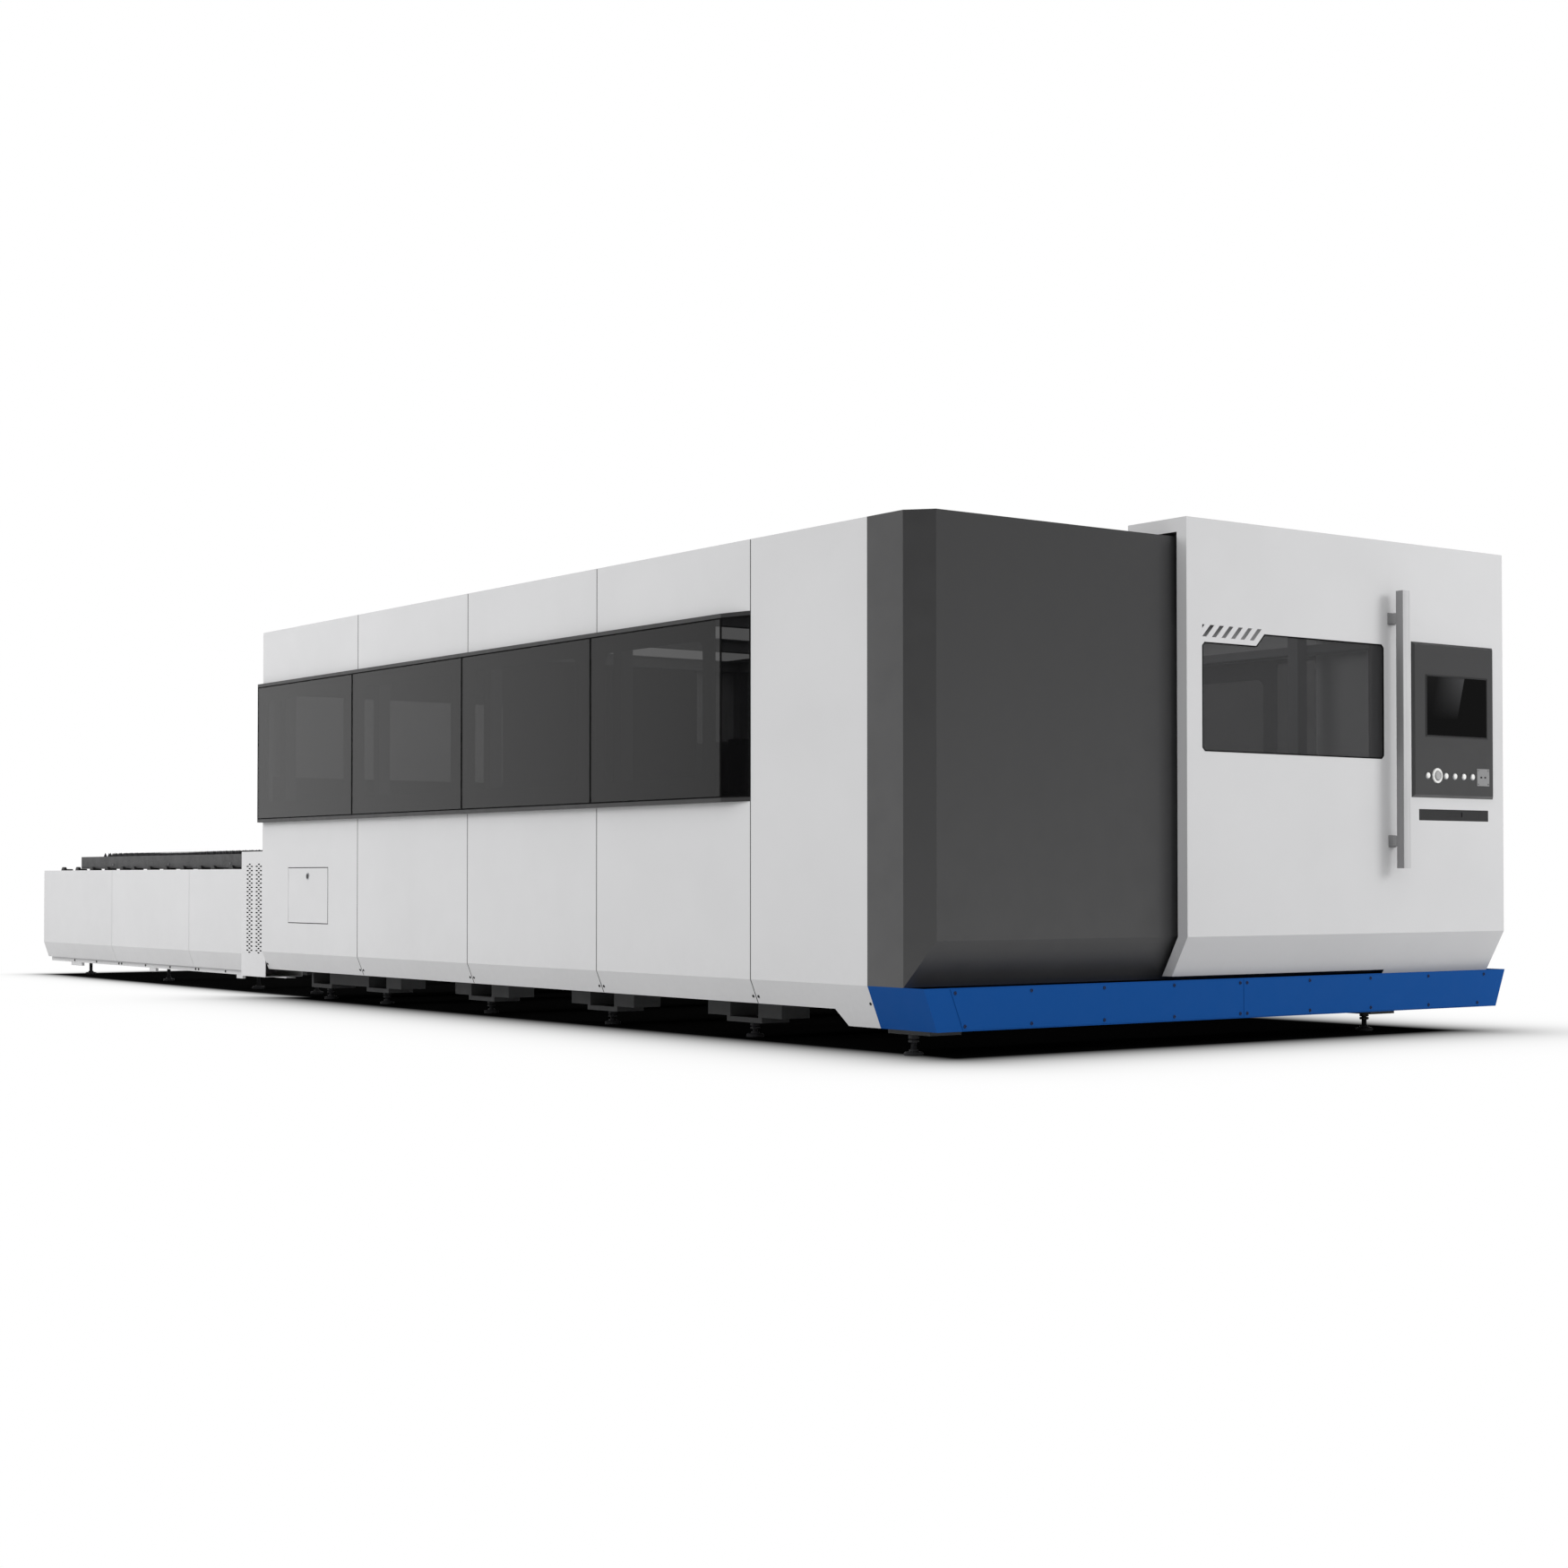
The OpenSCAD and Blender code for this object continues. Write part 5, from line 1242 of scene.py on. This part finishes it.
@dataclass
class OperatorPanel(Assembly):
    """Bevelled panel with screen, buttons, stop, sockets and keyboard drawer.

    The bends of a cap are shares of its radius and drops from its top. Each insert of a socket is half
    its width, half its height and its two ends above the plate's back.
    """

    coats: Coats = (
        (DARK_COAT, ("control_housing", "control_panel")),
        (DISPLAY, ("screen",)),
        (PRESSED_METAL, ("socket_plate",)),
        (BLACK_PLASTIC, ("keyboard_drawer",)),
        (WHITE_PLASTIC, tuple(f"button_{i}" for i in range(1, 6))),
        (GREY_PLASTIC, ("e_stop",)),
    )
    face: float = 5.099
    frame_w: float = 0.007
    frame_lift: Pair = (0.0002, 0.0018)
    row_z: float = 1.155
    button_ys: tuple[float, ...] = (1.127, 1.253, 1.315, 1.378, 1.440)
    button_r: float = 0.0125
    button_bends: Profile = ((1.0, 0.003), (0.93, 0.001), (0.8, 0.0), (0.0, 0.0))
    collar: Profile = ((0.0008, 0.0), (0.0035, 0.0), (0.003, 0.002), (0.0012, 0.0025), (0.0008, 0.0))
    round_steps: int = 32
    stop_y: float = 1.190
    stop_r: float = 0.022
    stop_bends: Profile = (
        (1.0, 0.004), (0.95, 0.0015), (0.84, 0.0), (0.6, 0.0), (0.55, 0.0015), (0.0, 0.0015)
    )
    ridges: int = 20
    ridge_from: float = 0.8
    ridge_h: float = 0.009
    ridge_depth: float = 0.05
    ring_gap: float = 0.0008
    ring_r: float = 0.0335
    ring_h: float = 0.0065
    ring_edge: Pair = (0.0015, 0.001)
    ring_steps: int = 48
    socket_offset: float = 0.014
    inserts: tuple[tuple[float, ...], ...] = ((0.0068, 0.0038, 0.0002, 0.001), (0.005, 0.001, 0.001, 0.0016))
    socket_screw: Fixing = Fixing(0.0035, 0.0015)
    socket_corner: float = 0.008
    keys: tuple[int, int] = (16, 5)
    keys_middle: Point = (4.945, 1.324, 0.991)
    key_half: float = 0.0085
    key_h: float = 0.004
    key_edge: float = 0.0018
    key_pitch: float = 0.0205

    def screen_frame(self) -> None:
        """Lays a narrow frame around the screen."""
        low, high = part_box("screen")
        loop = ((low[1], low[2]), (high[1], low[2]), (high[1], high[2]), (low[1], high[2]))
        depth = tuple(self.face + lift for lift in self.frame_lift)
        shape = bmesh.new()
        Bench.band(shape, loop, self.frame_w, depth, Bench.across_x)
        Bench.piece("screen_frame", shape, BLACK_PLASTIC, "door")

    @staticmethod
    def cap(radius: float, top: float, bends: Profile) -> list[Pair]:
        """Returns the profile of a cap from its radius, its top and its bends."""
        return [(0, 0), (radius, 0), *((radius * share, top - drop) for share, drop in bends)]

    def buttons(self) -> None:
        """Makes the domed button caps and the collars around them."""
        r, steps = self.button_r, self.round_steps
        for i, y in enumerate(self.button_ys, 1):
            low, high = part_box(f"button_{i}")
            profile = self.cap(r, high[0] - low[0], self.button_bends)
            shape = bmesh.new()
            Bench.lathe(shape, profile, (low[0], y, self.row_z), Axis.PLUS_X, steps)
            piece = Bench.piece(f"cap_of_button_{i}", shape, WHITE_PLASTIC, f"push_button_{i}")
            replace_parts(piece, f"button_{i}")
        collar = bmesh.new()
        Bench.lathe(collar, [(r + gap, h) for gap, h in self.collar], ORIGIN, Axis.PLUS_X, steps)
        spots = [(self.face, y, self.row_z) for y in self.button_ys]
        Repeater.run("button_collars", collar, GROUND_STEEL, "door", points=spots)

    def stop(self) -> None:
        """Makes the stop's low ridged cap, and the pale ring around it."""
        low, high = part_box("e_stop")
        top, r = high[0] - low[0], self.stop_r
        middle = (low[0], self.stop_y, self.row_z)
        shape = bmesh.new()
        Bench.lathe(shape, self.cap(r, top, self.stop_bends), middle, Axis.PLUS_X, self.ridges * 4)
        for vert in shape.verts:
            flat = Vector((0, vert.co.y - middle[1], vert.co.z - middle[2]))
            if flat.length > r * self.ridge_from and vert.co.x > middle[0] + top - self.ridge_h:
                angle = math.atan2(flat.z, flat.y)
                vert.co -= flat * self.ridge_depth * (0.5 + 0.5 * math.cos(angle * self.ridges))
        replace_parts(Bench.piece("ridged_stop_cap", shape, GREY_PLASTIC, "stop"), "e_stop")
        bore, outer, h = r + self.ring_gap, self.ring_r, self.ring_h
        rim = ((bore, 0.0), (outer, 0.0), (outer, h - self.ring_edge[1]))
        rim += ((outer - self.ring_edge[0], h), (bore, h), (bore, 0.0))
        ring = bmesh.new()
        Bench.lathe(ring, rim, (self.face, self.stop_y, self.row_z), Axis.PLUS_X, self.ring_steps)
        Bench.piece("stop_ring", ring, WHITE_PLASTIC, "door")

    def sockets(self) -> None:
        """Sets dark inserts in the socket plate's holes, and a screw in each corner."""
        low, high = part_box("socket_plate")
        middle, z = (low[1] + high[1]) / 2, (low[2] + high[2]) / 2
        shape = bmesh.new()
        for y in (middle - self.socket_offset, middle + self.socket_offset):
            for w, h, back, front in self.inserts:
                Bench.slab(shape, (low[0] + back, y - w, z - h), (low[0] + front, y + w, z + h))
        Bench.piece("socket_inserts", shape, BLACK_PLASTIC, "door")
        ys, zs = ((low[i] + self.socket_corner, high[i] - self.socket_corner) for i in (1, 2))
        spots = [(high[0], y, z) for y in ys for z in zs]
        Repeater.run("socket_screws", self.socket_screw.model(Axis.PLUS_X), ZINC, "door", points=spots)

    def keyboard(self) -> None:
        """Sets rows of keys on the keyboard in the drawer."""
        key, half, pitch = bmesh.new(), self.key_half, self.key_pitch
        Bench.slab(key, (-half, -half, 0.0), (half, half, self.key_h), self.key_edge)
        (columns, rows), (x, y, z) = self.keys, self.keys_middle
        Repeater.run(
            "keyboard_keys", key, KEY_PLASTIC, "drawer", Spread.GRID,
            Start=(x, y - pitch * (columns - 1) / 2, z),
            Columns=columns, Rows=rows, Column_step=(0, pitch, 0), Row_step=(pitch, 0, 0),
        )

    def make(self) -> None:
        """Makes the screen's frame, the buttons, the stop, the sockets and the keys."""
        self.screen_frame()
        self.buttons()
        self.stop()
        self.sockets()
        self.keyboard()


@dataclass
class BedAndGantry(Assembly):
    """Welded bed, feet, gantry, carriage and cutting head.

    The pad and neck of a foot are shares of the pad's and the stem's radius, with heights. Its nuts are
    given by how far their ends lie under the seat.
    """

    coats: Coats = (
        (DARK_LINING, ("bed_frame",)),
        (BASE_COAT, ("base_brackets",)),
        (BLACK_STEEL, ("levelling_feet", "bed_rollers", "gantry_trucks", "gantry_motors")),
        (GROUND_STEEL, ("guide_rails", "cross_rails", "nozzle")),
        (GREY_COAT, ("gantry_beam", "carriage")),
        (DARK_COAT, ("z_slide", "cutting_head")),
    )
    bed_feet: tuple[float, ...] = (3.466, 2.306, 1.146, -0.014, -0.711)
    bed_y: float = 1.4
    bed_seat: float = 0.066
    platform_feet: tuple[float, ...] = (-5.062, -3.616, -2.170, -1.334)
    platform_y: float = 1.19
    platform_seat: float = 0.130
    front_feet: tuple[Point, ...] = ((4.754, -1.565, 0.0), (4.754, 1.100, 0.0))
    front_seat: float = 0.083
    pad_r: float = 0.039
    pad: Profile = ((0.0, 0.0), (0.97, 0.0), (1.0, 0.003), (1.0, 0.011), (0.9, 0.015))
    pad_steps: int = 28
    stem_r: float = 0.012
    neck: Profile = ((1.6, 0.017), (1.5, 0.024), (0.0, 0.024))
    thread_start: float = 0.02
    thread_end: float = 0.004
    pitch: float = 0.003
    core: float = 0.9
    stem_steps: int = 16
    nut_r: float = 0.022
    nuts: tuple[Pair, ...] = ((0.018, 0.0), (0.032, 0.021))
    nut_edge: float = 0.002

    def foot(self, top: float) -> Shape:
        """Makes a levelling foot with a dished pad, a threaded stem and a nut under its seat.

        Args:
            top: Height of the seat.

        Returns:
            The foot, with its pad at the origin.
        """
        shape, s, core = bmesh.new(), self.stem_r, self.stem_r * self.core
        pad = [(self.pad_r * share, z) for share, z in self.pad] + [(s * share, z) for share, z in self.neck]
        Bench.lathe(shape, pad, ORIGIN, Axis.PLUS_Z, self.pad_steps)
        z = self.thread_start
        thread = [(0, z)]
        while z < top - self.thread_end:
            thread += [(core, z), (s, z + self.pitch / 2)]
            z += self.pitch
        Bench.lathe(shape, (*thread, (core, top), (0, top)), ORIGIN, Axis.PLUS_Z, self.stem_steps)
        n, flat, edge = self.nut_r, self.nut_r * self.core, self.nut_edge
        for low, high in ((top - start, top - end) for start, end in self.nuts):
            nut = ((0, low), (flat, low), (n, low + edge), (n, high - edge), (flat, high), (0, high))
            Bench.lathe(shape, nut, ORIGIN, Axis.PLUS_Z, 6)
        return shape

    def make(self) -> None:
        """Sets the levelling feet under bed, front and platform."""
        bed = [(x, y, 0.0) for x in self.bed_feet for y in (-self.bed_y, self.bed_y)]
        platform = [(x, y, 0.0) for x in self.platform_feet for y in (-self.platform_y, self.platform_y)]
        sets = (
            ("bed", bed, self.bed_seat),
            ("front", self.front_feet, self.front_seat),
            ("platform", platform, self.platform_seat),
        )
        for name, spots, top in sets:
            piece = Repeater.run(f"{name}_turned_feet", self.foot(top), BLACK_STEEL, points=spots)
            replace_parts(piece, "levelling_feet")


@dataclass
class ExchangePlatform(Assembly):
    """Platform behind the enclosure, with panels, rollers and the two pallets."""

    coats: Coats = (
        (WHITE_COAT, ("platform_panels",)),
        (BASE_COAT, ("platform_frame",)),
        (RUBBER, ("platform_rollers",)),
        (PALLET_STEEL, ("upper_pallet_frame", "lower_pallet_frame")),
    )
    ledge_xs: tuple[float, ...] = (
        -4.709, -4.291, -3.875, -3.827, -3.404, -2.987, -2.570, -2.522, -2.105
    )
    ledge: Pair = (1.44, 0.117)
    pin_xs: tuple[float, ...] = (-3.976, -3.004, -2.027)
    pin: Pair = (1.445, 0.788)
    screw: Fixing = Fixing(0.008, 0.004)
    tabs: tuple[Pair, ...] = ((-4.781, -4.577), (-3.338, -3.234), (-1.942, -1.852))
    tab_t: float = 0.02
    tab_z: Pair = (0.080, 0.1028)
    tab_edge: float = 0.001
    slat_count: int = 32
    slat_t: float = 0.006
    valley: float = 0.043
    teeth: int = 102
    tooth_lap: float = 0.001

    def slats(self, level: str) -> None:
        """Sets the fine-toothed slats across one pallet.

        Args:
            level: Which pallet, upper or lower.
        """
        node, body, t = f"{level}_pallet_slats", f"{level}_pallet", self.slat_t
        low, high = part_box(node)
        step = (high[0] - low[0] - t) / (self.slat_count - 1)
        width = (high[1] - low[1]) / self.teeth
        rise, lap = high[2] - low[2] - self.valley, self.tooth_lap
        bar, tooth = bmesh.new(), bmesh.new()
        Bench.slab(bar, ORIGIN, (t, high[1] - low[1], self.valley))
        outline = ((0, -lap), (width, -lap), (width, 0), (width / 2, rise), (0, 0))
        Bench.join(tooth, [[tooth.verts.new((x, y, z)) for y, z in outline] for x in (0.0, t)])
        along = {"Columns": self.slat_count, "Column_step": (step, 0, 0)}
        bars = Repeater.run(
            f"{level}_slat_bars", bar, BLACK_STEEL, body, Spread.LINE, Start=tuple(low), **along
        )
        teeth = Repeater.run(
            f"{level}_slat_teeth", tooth, BLACK_STEEL, body, Spread.GRID,
            Start=(low[0], low[1], low[2] + self.valley), Rows=self.teeth, Row_step=(0, width, 0), **along,
        )
        for piece in (bars, teeth):
            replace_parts(piece, node)

    def ledge_tabs(self) -> None:
        """Hangs the white tabs under both ledges."""
        shape = bmesh.new()
        for side in Side:
            y0, y1 = side.across(self.ledge[0], self.ledge[0] - self.tab_t)
            for left, right in self.tabs:
                Bench.slab(shape, (left, y0, self.tab_z[0]), (right, y1, self.tab_z[1]), self.tab_edge, 1)
        Bench.piece("ledge_tabs", shape, WHITE_COAT)

    def fixings(self) -> None:
        """Sets the screws on the platform's ledges and the pins along the pallet's sides."""
        rows = (
            ("ledge_screws", self.ledge_xs, self.ledge, BLACK_FIXING, "machine"),
            ("pallet_pins", self.pin_xs, self.pin, ZINC, "upper_pallet"),
        )
        for side, axis in ((Side.NEAR, Axis.MINUS_Y), (Side.FAR, Axis.PLUS_Y)):
            for name, xs, (y, z), finish, body in rows:
                spots = [(x, side.value * y, z) for x in xs]
                Repeater.run(f"{side.label}_{name}", self.screw.model(axis), finish, body, points=spots)

    def make(self) -> None:
        """Makes the fixings, the tabs and the slats of both pallets."""
        self.fixings()
        self.ledge_tabs()
        for level in ("upper", "lower"):
            self.slats(level)


def main() -> None:
    """Sets the studio, then builds and dresses every sub-assembly."""
    logging.basicConfig(level=logging.INFO, format="%(name)s: %(message)s")
    parts = (
        Studio(),
        Enclosure(),
        RibbonWindows(),
        FrontEnd(),
        SlidingDoor(),
        OperatorPanel(),
        BedAndGantry(),
        ExchangePlatform(),
    )
    for part in parts:
        part.build()
        log.info("finished %s", type(part).__name__)


if __name__ == "__main__":
    main()
